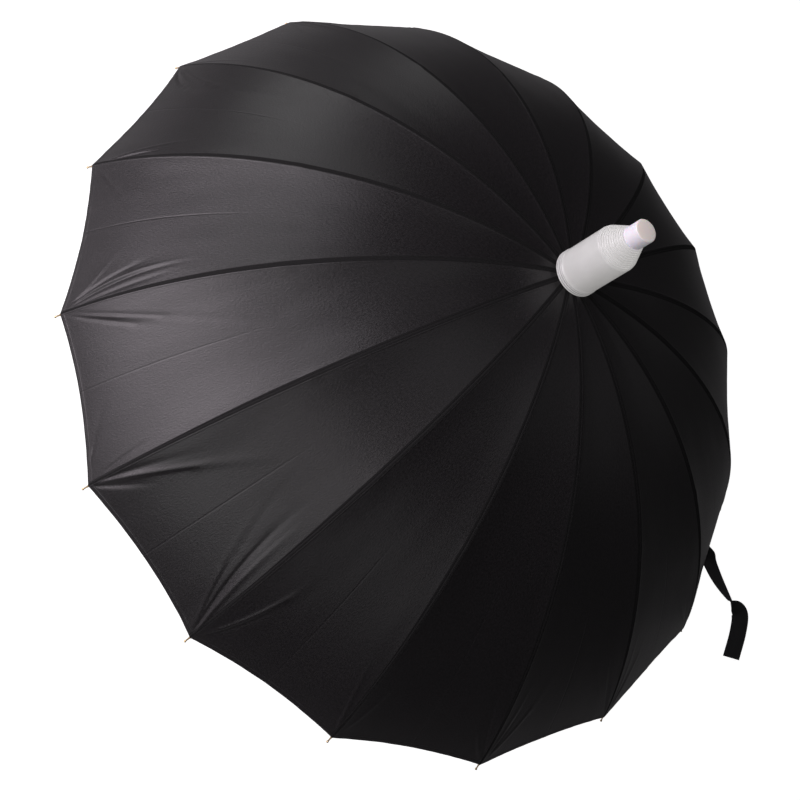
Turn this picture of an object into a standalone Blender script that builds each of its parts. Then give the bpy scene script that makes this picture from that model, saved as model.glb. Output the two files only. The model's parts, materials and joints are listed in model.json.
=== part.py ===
"""A stick umbrella with sixteen ribs, open and upright, with its drip sleeve folded up on the ferrule.

Metres, +Z up. The origin is the middle of the handle's straight grip, on the shaft's axis.
The hook bends towards +X. Ribs stand at even turns from +X, counted anticlockwise from above.
"""
import math

import bmesh
import bpy
from mathutils import Matrix, Vector

# Sizes that hold for the whole umbrella
RIB_COUNT = 16
CLEARANCE = 0.0003
OVERRUN = 0.002

# Shaft: a steel tube from the handle to the cap
SHAFT_RADIUS = 0.0060
SHAFT_WALL = 0.0008
SHAFT_SINK = 0.040

# Handle: a turned grip that ends in a half ring, with a metal collar on top
GRIP_LENGTH = 0.090
GRIP_RADIUS = 0.0115
HOOK_RADIUS = 0.029
HOOK_TAIL = 0.016
HANDLE_EDGE = 0.0015
COLLAR_RADIUS = 0.0100
COLLAR_HEIGHT = 0.012
COLLAR_EDGE = 0.0010

# Ribs: sprung rods that slope down more and more towards the canopy's corner
RIB_LENGTH = 0.600
RIB_ROOT_SLOPE = math.radians(-6.1)
RIB_TIP_SLOPE = math.radians(59.2)
RIB_BEND_POWER = 0.827
RIB_RADIUS = 0.0016
RIB_EYE_WIDTH = 0.0018
RIB_EYE_HEIGHT = 0.0026
RIB_EYE_LENGTH = 0.0060
RIB_EYE_END = 0.0014
RIB_NECK = 0.0040
TIP_RADIUS = 0.0009
TIP_LENGTH = 0.011
TIP_END_RADIUS = 0.0005
TIP_END = 0.0008

# Crown: the slotted hub that the ribs hang in, on a ring of wire
WIRE_RADIUS = 0.0004
SLOT_WALL = 0.0026
SLOT_DEPTH = 0.0023
HUB_RIM = 0.0018
CROWN_BELOW = 0.0070
CROWN_NECK = 0.0080
CROWN_NECK_RADIUS = 0.0092
PIN_RADIUS = 0.0008
PIN_DROP = 0.0040
WASHER_HEIGHT = 0.0012
WASHER_RADIUS = 0.0110

# Stretchers: channel bars from the runner to the ribs
STRETCHER_PIVOT_ARC = 0.320
CLOSED_LEAN = math.radians(2)
BAR_WIDTH = 0.0030
BAR_ABOVE = 0.0006
BAR_BELOW = 0.0022
BAR_TONGUE = 0.0070
BAR_TAPER = 0.0020
BAR_END = 0.0012
FORK_CHEEK = 0.0009
FORK_DEPTH = 0.0050
FORK_END = 0.0010

# Runner: the slotted collar that slides on the shaft
RUNNER_FLANGE = 0.012
RUNNER_TAIL = 0.045
RUNNER_WALL = 0.0036
CLOSED_MARGIN = 0.010
WINDOW_LENGTH = 0.018
WINDOW_DROP = 0.020

# Catch springs: bent strips in slots of the shaft
SPRING_WIDTH = 0.0016
SPRING_THICKNESS = 0.0005
SPRING_PROUD = 0.0024
SPRING_LENGTH = 0.016
SPRING_SEAT = 0.0005

# Canopy: sixteen gores sewn along the ribs
CLOTH_THICKNESS = 0.0006
HEM_SAG = 0.0095
GORE_DIP = 0.0030
GORE_STEPS = 4

# Closing strap: webbing sewn under the hem, with a half twist, and its hook patch
STRAP_GORE = 10
STRAP_GORE_SHARE = 0.60
STRAP_LENGTH = 0.165
STRAP_WIDTH = 0.0245
STRAP_THICKNESS = 0.0012
STRAP_DROP = 0.0026
STRAP_INSET = 0.0052
STRAP_STEPS = 22
PATCH_LENGTH = 0.026
PATCH_MARGIN = 0.0022
PATCH_THICKNESS = 0.0008
# Outward, sideways and upward from the strap's root, as shares of its length
STRAP_COURSE_SHARES = ((0.0, 0.0, 0.0), (0.20, -0.14, 0.018), (0.372, -0.261, 0.042), (0.495, -0.345, 0.012),
                       (0.585, -0.472, -0.048), (0.658, -0.624, -0.103))
# The way that the strap's face looks, as shares of one unit outward, sideways and upward
STRAP_FACE_SHARES = (-0.245, -0.524, 0.816)
STRAP_TWIST_SHARE = 0.47
STRAP_TWIST_SPREAD_SHARE = 0.17
STRAP_ROOT_SHARE = 0.16

# Drip sleeve: thin cups, one in another, that end in a cap on the ferrule
SLEEVE_LIFT = 0.0050
SECTION_COUNT = 10
SECTION_WALL = 0.0007
SECTION_STEP = 0.00124
SECTION_RISE = 0.0025
SECTION_EDGE = 0.0003
CUP_HEIGHT = 0.072
CUP_RADIUS = 0.0283
CUP_TOP_RADIUS = 0.0270
CUP_WALL = 0.0009
CUP_EDGE = 0.0008
BEAD_COUNT = 3
BEAD_PITCH = 0.0022
BEAD_PROUD = 0.0005
CAP_RADIUS = 0.0135
CAP_HEIGHT = 0.020
CAP_PLUG = 0.006
CAP_EDGE = 0.0012
CAP_SOCKET = 0.014

ROUND_STEPS = 32
SLEEVE_STEPS = 24
COURSE_STEPS = 60
RIB_STATIONS = 11
SHARP_ANGLE = math.radians(35)


def slope_at(arc):
    """The downward slope of a rib at a length along it."""
    share = min(max(arc / RIB_LENGTH, 0.0), 1.0)
    return RIB_ROOT_SLOPE + (RIB_TIP_SLOPE - RIB_ROOT_SLOPE) * share ** RIB_BEND_POWER


def station(number, lift):
    """Radius and height over the hinges of one of the rib's even stations, lifted square to the rib."""
    arc = RIB_LENGTH * number / RIB_STATIONS
    step = arc / COURSE_STEPS
    radius, height = HINGE_RADIUS, 0.0
    for i in range(COURSE_STEPS):
        slope = slope_at(step * (i + 0.5))
        radius += step * math.cos(slope)
        height -= step * math.sin(slope)
    slope = slope_at(arc)
    return radius + lift * math.sin(slope), height + lift * math.cos(slope)


def rib_at(arc, lift=0.0):
    """Radius and height over the hinges of a point along a rib, on the straight runs between its stations.

    Ribs and canopy share these runs, so that the cloth lies evenly over the rods.
    """
    along = arc / RIB_LENGTH * RIB_STATIONS
    number = math.floor(along)
    near, far = station(number, lift), station(number + 1, lift)
    share = along - number
    return near[0] + (far[0] - near[0]) * share, near[1] + (far[1] - near[1]) * share


# Places that follow from the sizes
SLOT_WIDTH = RIB_EYE_WIDTH + 2 * CLEARANCE
HINGE_RADIUS = (SLOT_WIDTH + SLOT_WALL) * RIB_COUNT / math.tau
PIVOT_RADIUS, PIVOT_HEIGHT = rib_at(STRETCHER_PIVOT_ARC)
REACH = math.hypot(PIVOT_RADIUS - HINGE_RADIUS, PIVOT_HEIGHT)
GRIP_TOP = GRIP_LENGTH / 2
RUNNER_DROP = -2 * PIVOT_HEIGHT
CLOSED_DROP = 2 * REACH * math.cos(CLOSED_LEAN)
HINGE_HEIGHT = GRIP_TOP + COLLAR_HEIGHT + CLOSED_MARGIN + RUNNER_TAIL + RUNNER_FLANGE / 2 + CLOSED_DROP
CROWN_TOP = HINGE_HEIGHT + RIB_RADIUS
CLOTH_BASE = CROWN_TOP + CLEARANCE
SLEEVE_BASE = CLOTH_BASE + CLOTH_THICKNESS + SLEEVE_LIFT
SECTIONS_TOP = SLEEVE_BASE + CUP_HEIGHT + SECTION_COUNT * SECTION_RISE
CAP_TOP = SECTIONS_TOP + CAP_HEIGHT
SHAFT_TOP = SECTIONS_TOP - CAP_PLUG + CAP_SOCKET - CLEARANCE
BORE_RADIUS = SHAFT_RADIUS + CLEARANCE
RUNNER_HEIGHT = HINGE_HEIGHT - RUNNER_DROP
RUNNER_END = RUNNER_HEIGHT - RUNNER_FLANGE / 2 - RUNNER_TAIL
CLOSED_RUNNER = HINGE_HEIGHT - CLOSED_DROP
TIP_HEIGHT = HINGE_HEIGHT + rib_at(RIB_LENGTH)[1]


def clear_scene():
    """Removes whatever the file holds."""
    for obj in list(bpy.data.objects):
        bpy.data.objects.remove(obj, do_unlink=True)


def finish(name, colour, roughness, metallic=0.0, alpha=1.0):
    """A plain material from its colour, roughness and metallic value."""
    material = bpy.data.materials.new(name)
    material.use_nodes = True
    shader = material.node_tree.nodes["Principled BSDF"]
    shader.inputs["Base Color"].default_value = (*colour, 1.0)
    shader.inputs["Roughness"].default_value = roughness
    shader.inputs["Metallic"].default_value = metallic
    shader.inputs["Alpha"].default_value = alpha
    material.diffuse_color = (*colour, alpha)
    return material


def to_mesh(bm, name):
    """Turns a bmesh into a mesh with its faces pointing out, smooth but for its sharp edges."""
    bmesh.ops.recalc_face_normals(bm, faces=bm.faces[:])
    mesh = bpy.data.meshes.new(name)
    bm.to_mesh(mesh)
    bm.free()
    mesh.shade_smooth()
    mesh.set_sharp_from_angle(angle=SHARP_ANGLE)
    return mesh


def place(name, mesh, material, location=(0, 0, 0), turn=0.0):
    """Adds an object, turned about the shaft's direction."""
    if not mesh.materials:
        mesh.materials.append(material)
    obj = bpy.data.objects.new(name, mesh)
    bpy.context.scene.collection.objects.link(obj)
    obj.location = location
    obj.rotation_euler.z = turn
    return obj


def turned(name, outline, steps=ROUND_STEPS, closed=True):
    """A mesh spun about Z from points of radius and height. An open outline starts and ends on the axis."""
    bm = bmesh.new()
    verts = [bm.verts.new((radius, 0, height)) for radius, height in outline]
    pairs = list(zip(verts, verts[1:])) + ([(verts[-1], verts[0])] if closed else [])
    edges = [bm.edges.new(pair) for pair in pairs]
    bmesh.ops.spin(bm, geom=verts + edges, axis=(0, 0, 1), cent=(0, 0, 0), angle=math.tau, steps=steps,
                   use_merge=True)
    bmesh.ops.remove_doubles(bm, verts=bm.verts[:], dist=CLEARANCE / 100)
    return to_mesh(bm, name)


def lofted(name, rings):
    """A closed mesh through rings that have the same number of points."""
    bm = bmesh.new()
    loops = [[bm.verts.new(point) for point in ring] for ring in rings]
    count = len(loops[0])
    for near, far in zip(loops, loops[1:]):
        for i in range(count):
            j = (i + 1) % count
            bm.faces.new((near[i], near[j], far[j], far[i]))
    bm.faces.new(loops[0][::-1])
    bm.faces.new(loops[-1])
    return to_mesh(bm, name)


def extruded(name, outline, low, high):
    """A mesh from an outline of x and y points, raised from one height to another."""
    bm = bmesh.new()
    face = bm.faces.new([bm.verts.new((x, y, low)) for x, y in outline])
    up = bmesh.ops.extrude_face_region(bm, geom=[face])["geom"]
    bmesh.ops.translate(bm, verts=[v for v in up if isinstance(v, bmesh.types.BMVert)], vec=(0, 0, high - low))
    if not any(f is face for f in bm.faces):
        bm.faces.new([v for v in bm.verts if v.co.z == low])
    return bm


def cutter(name, bm):
    """A hidden object that cuts others."""
    obj = place(name, to_mesh(bm, name), CUT)
    obj.hide_render = True
    obj.display_type = "WIRE"
    return obj


def cut(obj, tool):
    """Cuts one object with another by a live Boolean."""
    modifier = obj.modifiers.new("Cut", "BOOLEAN")
    modifier.operation = "DIFFERENCE"
    modifier.solver = "EXACT"
    modifier.object = tool


def box(bm, low, high, turn=0.0):
    """Adds a box between two corners to a bmesh, turned about Z."""
    middle = (Vector(low) + Vector(high)) / 2
    size = Vector(high) - Vector(low)
    matrix = Matrix.Rotation(turn, 4, "Z") @ Matrix.Translation(middle) @ Matrix.Diagonal((*size, 1))
    bmesh.ops.create_cube(bm, size=1, matrix=matrix)


def rod(bm, start, end, radius, sides):
    """Adds a round bar between two points to a bmesh."""
    way = Vector(end) - Vector(start)
    matrix = Matrix.Translation((Vector(start) + Vector(end)) / 2) @ way.to_track_quat("Z", "Y").to_matrix().to_4x4()
    bmesh.ops.create_cone(bm, cap_ends=True, segments=sides, radius1=radius, radius2=radius, depth=way.length,
                          matrix=matrix)


def slots(name, low, high, depth_radius, out_radius):
    """A hidden ring of cutters, one for each rib."""
    bm = bmesh.new()
    for number in range(RIB_COUNT):
        box(bm, (depth_radius, -SLOT_WIDTH / 2, low), (out_radius, SLOT_WIDTH / 2, high),
            math.tau * number / RIB_COUNT)
    return cutter(name, bm)


def evaluated_mesh(obj, name):
    """The mesh of an object with its modifiers applied."""
    graph = bpy.context.evaluated_depsgraph_get()
    return bpy.data.meshes.new_from_object(obj.evaluated_get(graph), depsgraph=graph)


def spring_slot(name, top):
    """A hidden cutter for a catch spring's slot in the shaft's +X side."""
    bm = bmesh.new()
    half = SPRING_WIDTH / 2 + CLEARANCE
    box(bm, (SPRING_THICKNESS, -half, top - SPRING_LENGTH - OVERRUN), (SHAFT_RADIUS + OVERRUN, half, top + CLEARANCE))
    return cutter(name, bm)


def pin_hole(height, radius):
    """A hidden cutter for the pin across the crown."""
    bm = bmesh.new()
    reach = CROWN_NECK_RADIUS + OVERRUN
    rod(bm, (0, -reach, height), (0, reach, height), radius, ROUND_STEPS // 4)
    return cutter("pin_hole", bm)


def make_shaft():
    """The shaft's tube, with slots for both catch springs and a hole for the crown's pin."""
    bottom, inner = GRIP_TOP - SHAFT_SINK, SHAFT_RADIUS - SHAFT_WALL
    outline = ((SHAFT_RADIUS, SHAFT_TOP), (SHAFT_RADIUS, bottom), (inner, bottom), (inner, SHAFT_TOP))
    shaft = place("shaft", turned("shaft", outline), STEEL)
    cut(shaft, spring_slot("open_slot", RUNNER_END - CLEARANCE))
    cut(shaft, spring_slot("closed_slot", closed_spring_top()))
    cut(shaft, pin_hole(HINGE_HEIGHT - CROWN_BELOW - PIN_DROP, PIN_RADIUS + CLEARANCE))
    return shaft


def closed_spring_top():
    """The height of the lower catch spring's shoulder, in the runner's window when it is closed."""
    return CLOSED_RUNNER - RUNNER_FLANGE / 2 - WINDOW_DROP


def make_spring(name, top):
    """A bent strip: it bears on the shaft's far wall, crosses it and slopes back in below its shoulder."""
    back = -(SHAFT_RADIUS - SHAFT_WALL - SPRING_THICKNESS / 2 - SPRING_SEAT)
    front = SHAFT_RADIUS + SPRING_PROUD
    shoulder = -SPRING_THICKNESS / 2 - CLEARANCE
    course = [(back, -SPRING_LENGTH), (back, shoulder - SPRING_THICKNESS), (back + SPRING_THICKNESS, shoulder),
              (front - SPRING_THICKNESS, shoulder), (front, shoulder - SPRING_THICKNESS),
              (SPRING_THICKNESS * 3, -SPRING_LENGTH)]
    rings = []
    for number, (x, z) in enumerate(course):
        before = Vector(course[max(number - 1, 0)])
        after = Vector(course[min(number + 1, len(course) - 1)])
        ahead = (after - before).normalized()
        side = Vector((-ahead.y, ahead.x)) * SPRING_THICKNESS / 2
        half = SPRING_WIDTH / 2
        rings.append([(x + side.x, -half, z + side.y), (x + side.x, half, z + side.y),
                      (x - side.x, half, z - side.y), (x - side.x, -half, z - side.y)])
    return place(name, lofted(name, rings), SPRING_STEEL, (0, 0, top))


def make_handle():
    """The grip and hook as one swept bar, bored for the shaft, with its collar."""
    bottom = -GRIP_LENGTH / 2
    course = [(0.0, GRIP_TOP), (0.0, GRIP_TOP - HANDLE_EDGE), (0.0, GRIP_TOP - SHAFT_SINK), (0.0, bottom)]
    turns = 10
    for number in range(1, turns + 1):
        angle = math.pi * number / turns
        course.append((HOOK_RADIUS * (1 - math.cos(angle)), bottom - HOOK_RADIUS * math.sin(angle)))
    end = course[-1]
    course += [(end[0], end[1] + HOOK_TAIL - HANDLE_EDGE), (end[0], end[1] + HOOK_TAIL)]
    rings, sides = [], ROUND_STEPS // 2
    for number, (x, z) in enumerate(course):
        before = Vector(course[max(number - 1, 0)])
        ahead = (Vector(course[min(number + 1, len(course) - 1)]) - before).normalized()
        outward = Vector((-ahead.y, 0, ahead.x))
        radius = GRIP_RADIUS - (HANDLE_EDGE if number in (0, len(course) - 1) else 0)
        rings.append([Vector((x, 0, z)) + radius * (math.cos(a) * outward + math.sin(a) * Vector((0, 1, 0)))
                      for a in (math.tau * i / sides for i in range(sides))])
    handle = place("handle", lofted("handle", rings), GRIP)
    bm = bmesh.new()
    rod(bm, (0, 0, GRIP_TOP - SHAFT_SINK - CLEARANCE), (0, 0, GRIP_TOP + OVERRUN), BORE_RADIUS, ROUND_STEPS)
    cut(handle, cutter("handle_bore", bm))
    base = GRIP_TOP + CLEARANCE
    top = base + COLLAR_HEIGHT
    outline = ((COLLAR_RADIUS, base), (COLLAR_RADIUS, top - COLLAR_EDGE), (COLLAR_RADIUS - COLLAR_EDGE, top),
               (BORE_RADIUS, top), (BORE_RADIUS, base))
    place("handle_collar", turned("handle_collar", outline), CHROME)


def make_crown():
    """The crown, its ring of wire, its pin and the washer over the canopy."""
    rim = HINGE_RADIUS + HUB_RIM
    groove = WIRE_RADIUS + CLEARANCE
    low = HINGE_HEIGHT - CROWN_BELOW
    neck = low - CROWN_NECK
    outline = ((BORE_RADIUS, neck), (CROWN_NECK_RADIUS, neck), (CROWN_NECK_RADIUS, low), (rim, low),
               (rim, HINGE_HEIGHT - groove), (HINGE_RADIUS - groove, HINGE_HEIGHT - groove),
               (HINGE_RADIUS - groove, HINGE_HEIGHT + groove), (rim, HINGE_HEIGHT + groove),
               (rim, CROWN_TOP), (BORE_RADIUS, CROWN_TOP))
    crown = place("crown", turned("crown", outline), MOULDING)
    slot_floor = HINGE_RADIUS - SLOT_DEPTH
    cut(crown, slots("crown_slots", low - OVERRUN, CROWN_TOP + OVERRUN, slot_floor, rim + OVERRUN))
    pin_height = low - PIN_DROP
    cut(crown, pin_hole(pin_height, PIN_RADIUS + CLEARANCE))
    wire = bmesh.new()
    circle = bmesh.ops.create_circle(wire, segments=6, radius=WIRE_RADIUS,
                                     matrix=Matrix.Translation((HINGE_RADIUS, 0, HINGE_HEIGHT))
                                     @ Matrix.Rotation(math.pi / 2, 4, "X"))["verts"]
    edges = list({edge for vert in circle for edge in vert.link_edges})
    bmesh.ops.spin(wire, geom=circle + edges, axis=(0, 0, 1), cent=(0, 0, 0), angle=math.tau,
                   steps=RIB_COUNT * 3, use_merge=True)
    place("crown_wire", to_mesh(wire, "crown_wire"), STEEL)
    pin = bmesh.new()
    rod(pin, (0, -CROWN_NECK_RADIUS, pin_height), (0, CROWN_NECK_RADIUS, pin_height), PIN_RADIUS, ROUND_STEPS // 4)
    place("crown_pin", to_mesh(pin, "crown_pin"), STEEL)
    base = CLOTH_BASE + CLOTH_THICKNESS + CLEARANCE
    top = base + WASHER_HEIGHT
    outline = ((BORE_RADIUS, base), (WASHER_RADIUS, base), (WASHER_RADIUS, top), (BORE_RADIUS, top))
    place("canopy_washer", turned("canopy_washer", outline), MOULDING)


def make_runner():
    """The runner, slotted through for the stretchers' ends, with a window for the lower catch spring."""
    rim = HINGE_RADIUS + HUB_RIM
    half, end = RUNNER_FLANGE / 2, -RUNNER_FLANGE / 2 - RUNNER_TAIL
    tail = BORE_RADIUS + RUNNER_WALL
    outline = ((BORE_RADIUS, end), (tail, end), (tail, -half), (rim, -half), (rim, half), (BORE_RADIUS, half))
    runner = place("runner", turned("runner", outline), MOULDING, (0, 0, RUNNER_HEIGHT))
    slot_floor = max(HINGE_RADIUS - SLOT_DEPTH, tail + CLEARANCE)
    cut(runner, slots("runner_slots", RUNNER_HEIGHT - half - OVERRUN, RUNNER_HEIGHT + half + OVERRUN,
                      slot_floor, rim + OVERRUN))
    window = bmesh.new()
    width = SPRING_WIDTH / 2 + 2 * CLEARANCE
    top = RUNNER_HEIGHT - half - WINDOW_DROP + CLEARANCE
    box(window, (SHAFT_RADIUS / 2, -width, top - WINDOW_LENGTH), (tail + OVERRUN, width, top))
    cut(runner, cutter("runner_window", window))


def rib_mesh():
    """A rib's rod: a flat eye for the wire, a round body and a thin metal tip."""
    sections = [(-RIB_EYE_END, RIB_EYE_WIDTH / 2, RIB_EYE_HEIGHT / 4), (-RIB_EYE_END / 2, RIB_EYE_WIDTH / 2,
                RIB_EYE_HEIGHT / 2), (RIB_EYE_LENGTH, RIB_EYE_WIDTH / 2, RIB_EYE_HEIGHT / 2)]
    body = [RIB_EYE_LENGTH + RIB_NECK, *(RIB_LENGTH * i / RIB_STATIONS for i in range(1, RIB_STATIONS)),
            RIB_LENGTH - RIB_NECK]
    sections += [(arc, RIB_RADIUS, RIB_RADIUS) for arc in body]
    sections += [(RIB_LENGTH, TIP_RADIUS, TIP_RADIUS), (RIB_LENGTH + TIP_LENGTH - TIP_END, TIP_RADIUS, TIP_RADIUS),
                 (RIB_LENGTH + TIP_LENGTH, TIP_END_RADIUS, TIP_END_RADIUS)]
    rings, sides = [], 6
    for arc, wide, high in sections:
        radius, height = rib_at(arc)
        slope = slope_at(arc)
        centre = Vector((radius - HINGE_RADIUS, 0, height))
        up = Vector((math.sin(slope), 0, math.cos(slope)))
        rings.append([centre + up * high * math.sin(a) + Vector((0, 1, 0)) * wide * math.cos(a) / math.cos(math.pi / 6)
                      for a in (math.tau * (i + 0.5) / sides for i in range(sides))])
    rib = place("rib_blank", lofted("rib_blank", rings), GLASS_ROD)
    hole = bmesh.new()
    rod(hole, (0, -RIB_RADIUS, 0), (0, RIB_RADIUS, 0), WIRE_RADIUS + CLEARANCE, 8)
    tool = cutter("rib_eye", hole)
    cut(rib, tool)
    mesh = evaluated_mesh(rib, "rib")
    bpy.data.objects.remove(rib, do_unlink=True)
    return mesh


def make_ribs():
    """Sixteen ribs, each with its origin on the crown's wire."""
    mesh = rib_mesh()
    for number in range(RIB_COUNT):
        turn = math.tau * number / RIB_COUNT
        place(f"rib_{number + 1:02d}", mesh, GLASS_ROD,
              (HINGE_RADIUS * math.cos(turn), HINGE_RADIUS * math.sin(turn), HINGE_HEIGHT), turn)


def stretcher_mesh():
    """A stretcher's bar, from a tongue in the runner's slot to a fork round the rib. Its origin is at the rib."""
    tongue, bar = RIB_EYE_WIDTH / 2, BAR_WIDTH / 2
    inner = RIB_RADIUS / math.cos(math.pi / 6) + CLEARANCE
    cheek = inner + FORK_CHEEK
    half = [(-REACH - BAR_END, tongue), (-REACH + BAR_TONGUE, tongue), (-REACH + BAR_TONGUE + BAR_TAPER, bar),
            (-FORK_DEPTH - BAR_TAPER * 2, bar), (-FORK_DEPTH - BAR_TAPER / 2, cheek), (FORK_END, cheek),
            (FORK_END, inner), (-FORK_DEPTH, inner)]
    outline = half + [(x, -y) for x, y in reversed(half)]
    bm = extruded("stretcher", outline, -BAR_BELOW, BAR_ABOVE)
    tilt = math.atan2(-PIVOT_HEIGHT, PIVOT_RADIUS - HINGE_RADIUS)
    bmesh.ops.rotate(bm, verts=bm.verts[:], cent=(0, 0, 0), matrix=Matrix.Rotation(-tilt, 3, "Y"))
    return to_mesh(bm, "stretcher")


def make_stretchers():
    """Sixteen stretchers, each with its origin on its pivot at the rib."""
    mesh = stretcher_mesh()
    for number in range(RIB_COUNT):
        turn = math.tau * number / RIB_COUNT
        place(f"stretcher_{number + 1:02d}", mesh, STEEL,
              (PIVOT_RADIUS * math.cos(turn), PIVOT_RADIUS * math.sin(turn), HINGE_HEIGHT + PIVOT_HEIGHT), turn)


def gore_point(gore, share, arc):
    """A point of the canopy's underside: a share of the way across a gore, at a length along its ribs."""
    bow = 4 * share * (1 - share)
    along = arc / RIB_LENGTH
    arc -= HEM_SAG * bow * along ** 3
    lift = RIB_RADIUS + CLEARANCE - GORE_DIP * bow * math.sin(math.pi * min(along, 1.0))
    radius, height = rib_at(arc, lift)
    near, far = (math.tau * (gore + side) / RIB_COUNT for side in (0, 1))
    start = Vector((math.cos(near), math.sin(near), 0))
    end = Vector((math.cos(far), math.sin(far), 0))
    return start.lerp(end, share) * radius + Vector((0, 0, HINGE_HEIGHT + height))


def make_canopy():
    """The sewn canopy: one thin closed sheet with the scalloped hem, open at the shaft."""
    bm = bmesh.new()
    arcs = [RIB_LENGTH * row / RIB_STATIONS for row in range(RIB_STATIONS + 1)]
    columns = RIB_COUNT * GORE_STEPS
    hole = []
    for column in range(columns):
        turn = math.tau * column / columns
        hole.append(bm.verts.new((BORE_RADIUS * math.cos(turn), BORE_RADIUS * math.sin(turn), CLOTH_BASE)))
    rows = [hole]
    for arc in arcs:
        rows.append([bm.verts.new(gore_point(column // GORE_STEPS, (column % GORE_STEPS) / GORE_STEPS, arc))
                     for column in range(columns)])
    for inner, outer in zip(rows, rows[1:]):
        for i in range(columns):
            j = (i + 1) % columns
            bm.faces.new((inner[i], outer[i], outer[j], inner[j]))
    canopy = place("canopy", to_mesh(bm, "canopy"), PONGEE)
    shell = canopy.modifiers.new("Cloth", "SOLIDIFY")
    shell.thickness = CLOTH_THICKNESS
    shell.offset = 1.0
    shell.use_even_offset = True


def strap_frame():
    """The strap's root under the hem, and the outward, sideways and upward directions there."""
    turn = math.tau * (STRAP_GORE + 0.5) / RIB_COUNT
    outward = Vector((math.cos(turn), math.sin(turn), 0))
    sideways = Vector((-math.sin(turn), math.cos(turn), 0))
    hem = gore_point(STRAP_GORE, STRAP_GORE_SHARE, RIB_LENGTH)
    root = hem - outward * STRAP_INSET - Vector((0, 0, STRAP_DROP))
    return root, outward, sideways


def smooth_course(points, steps):
    """Even steps along a smooth curve through the given points, with the direction at each."""
    ends = [points[0] * 2 - points[1], *points, points[-1] * 2 - points[-2]]
    fine = []
    for a, b, c, d in zip(ends, ends[1:], ends[2:], ends[3:]):
        for i in range(steps):
            t = i / steps
            fine.append((b * 2 + (c - a) * t + (a * 2 - b * 5 + c * 4 - d) * t * t
                         + (b * 3 - a - c * 3 + d) * t * t * t) / 2)
    fine.append(points[-1])
    lengths = [0.0]
    for a, b in zip(fine, fine[1:]):
        lengths.append(lengths[-1] + (b - a).length)
    course = []
    for number in range(steps + 1):
        want = lengths[-1] * number / steps
        i = max(k for k in range(len(fine) - 1) if lengths[k] <= want)
        share = min((want - lengths[i]) / (lengths[i + 1] - lengths[i]), 1.0)
        course.append((fine[i].lerp(fine[i + 1], share), (fine[i + 1] - fine[i]).normalized()))
    return course


def eased(value):
    """A smooth step from 0 to 1."""
    value = min(max(value, 0.0), 1.0)
    return value * value * (3 - 2 * value)


def strap_stations():
    """Centre, width direction and face direction at even steps along the strap."""
    root, outward, sideways = strap_frame()
    up = Vector((0, 0, 1))
    points = [root + (outward * x + sideways * y + up * z) * STRAP_LENGTH for x, y, z in STRAP_COURSE_SHARES]
    look = outward * STRAP_FACE_SHARES[0] + sideways * STRAP_FACE_SHARES[1] + up * STRAP_FACE_SHARES[2]
    stations = []
    for number, (centre, ahead) in enumerate(smooth_course(points, STRAP_STEPS)):
        share = number / STRAP_STEPS
        across = look.cross(ahead).normalized().lerp(sideways, 1 - eased(share / STRAP_ROOT_SHARE))
        across = (across - ahead * across.dot(ahead)).normalized()
        spread = STRAP_TWIST_SPREAD_SHARE
        twist = math.pi * eased((share - STRAP_TWIST_SHARE + spread) / (2 * spread))
        across = Matrix.Rotation(twist, 3, ahead) @ across
        stations.append((centre, across, ahead.cross(across).normalized()))
    return stations


def make_strap():
    """The closing strap with its half twist, and the hook patch near its end."""
    stations = strap_stations()
    half, thin = STRAP_WIDTH / 2, STRAP_THICKNESS / 2
    rings = [[centre + across * half * s + face * thin * t for s, t in ((-1, -1), (1, -1), (1, 1), (-1, 1))]
             for centre, across, face in stations]
    place("strap", lofted("strap", rings), WEBBING)
    near, far = thin + CLEARANCE, thin + CLEARANCE + PATCH_THICKNESS
    half -= PATCH_MARGIN
    keep = max(2, round(PATCH_LENGTH / STRAP_LENGTH * STRAP_STEPS))
    rings = [[centre + across * half * s + face * t for s, t in ((-1, near), (1, near), (1, far), (-1, far))]
             for centre, across, face in stations[-keep - 1:-1]]
    place("strap_patch", lofted("strap_patch", rings), WEBBING)


def make_sleeve():
    """The drip sleeve's outer cup with its beaded edge, and the sections that stand out of it step by step."""
    outline = [(CUP_RADIUS - CUP_WALL, 0.0)]
    for number in range(BEAD_COUNT):
        low = BEAD_PITCH * number
        outline += [(CUP_RADIUS - BEAD_PROUD, low), (CUP_RADIUS, low + BEAD_PITCH / 2)]
    outline += [(CUP_RADIUS - BEAD_PROUD, BEAD_PITCH * BEAD_COUNT), (CUP_TOP_RADIUS, CUP_HEIGHT - CUP_EDGE),
                (CUP_TOP_RADIUS - CUP_EDGE, CUP_HEIGHT)]
    hole = CUP_TOP_RADIUS - SECTION_STEP + CLEARANCE
    if hole < CUP_TOP_RADIUS - CUP_EDGE:
        outline.append((hole, CUP_HEIGHT))
    outline.append((min(hole, CUP_TOP_RADIUS - CUP_WALL), CUP_HEIGHT - CUP_WALL))
    place("sleeve_cup", turned("sleeve_cup", outline, SLEEVE_STEPS), SLEEVE, (0, 0, SLEEVE_BASE))
    for number in range(1, SECTION_COUNT + 1):
        radius = CUP_TOP_RADIUS - number * SECTION_STEP
        top = SLEEVE_BASE + CUP_HEIGHT + number * SECTION_RISE
        low = SLEEVE_BASE + CLEARANCE * number
        inner = radius - SECTION_WALL
        outline = ((inner, low), (radius, low), (radius, top - SECTION_EDGE), (radius - SECTION_EDGE, top),
                   (inner, top))
        name = f"sleeve_section_{number:02d}"
        place(name, turned(name, outline, SLEEVE_STEPS), SLEEVE)


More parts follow.
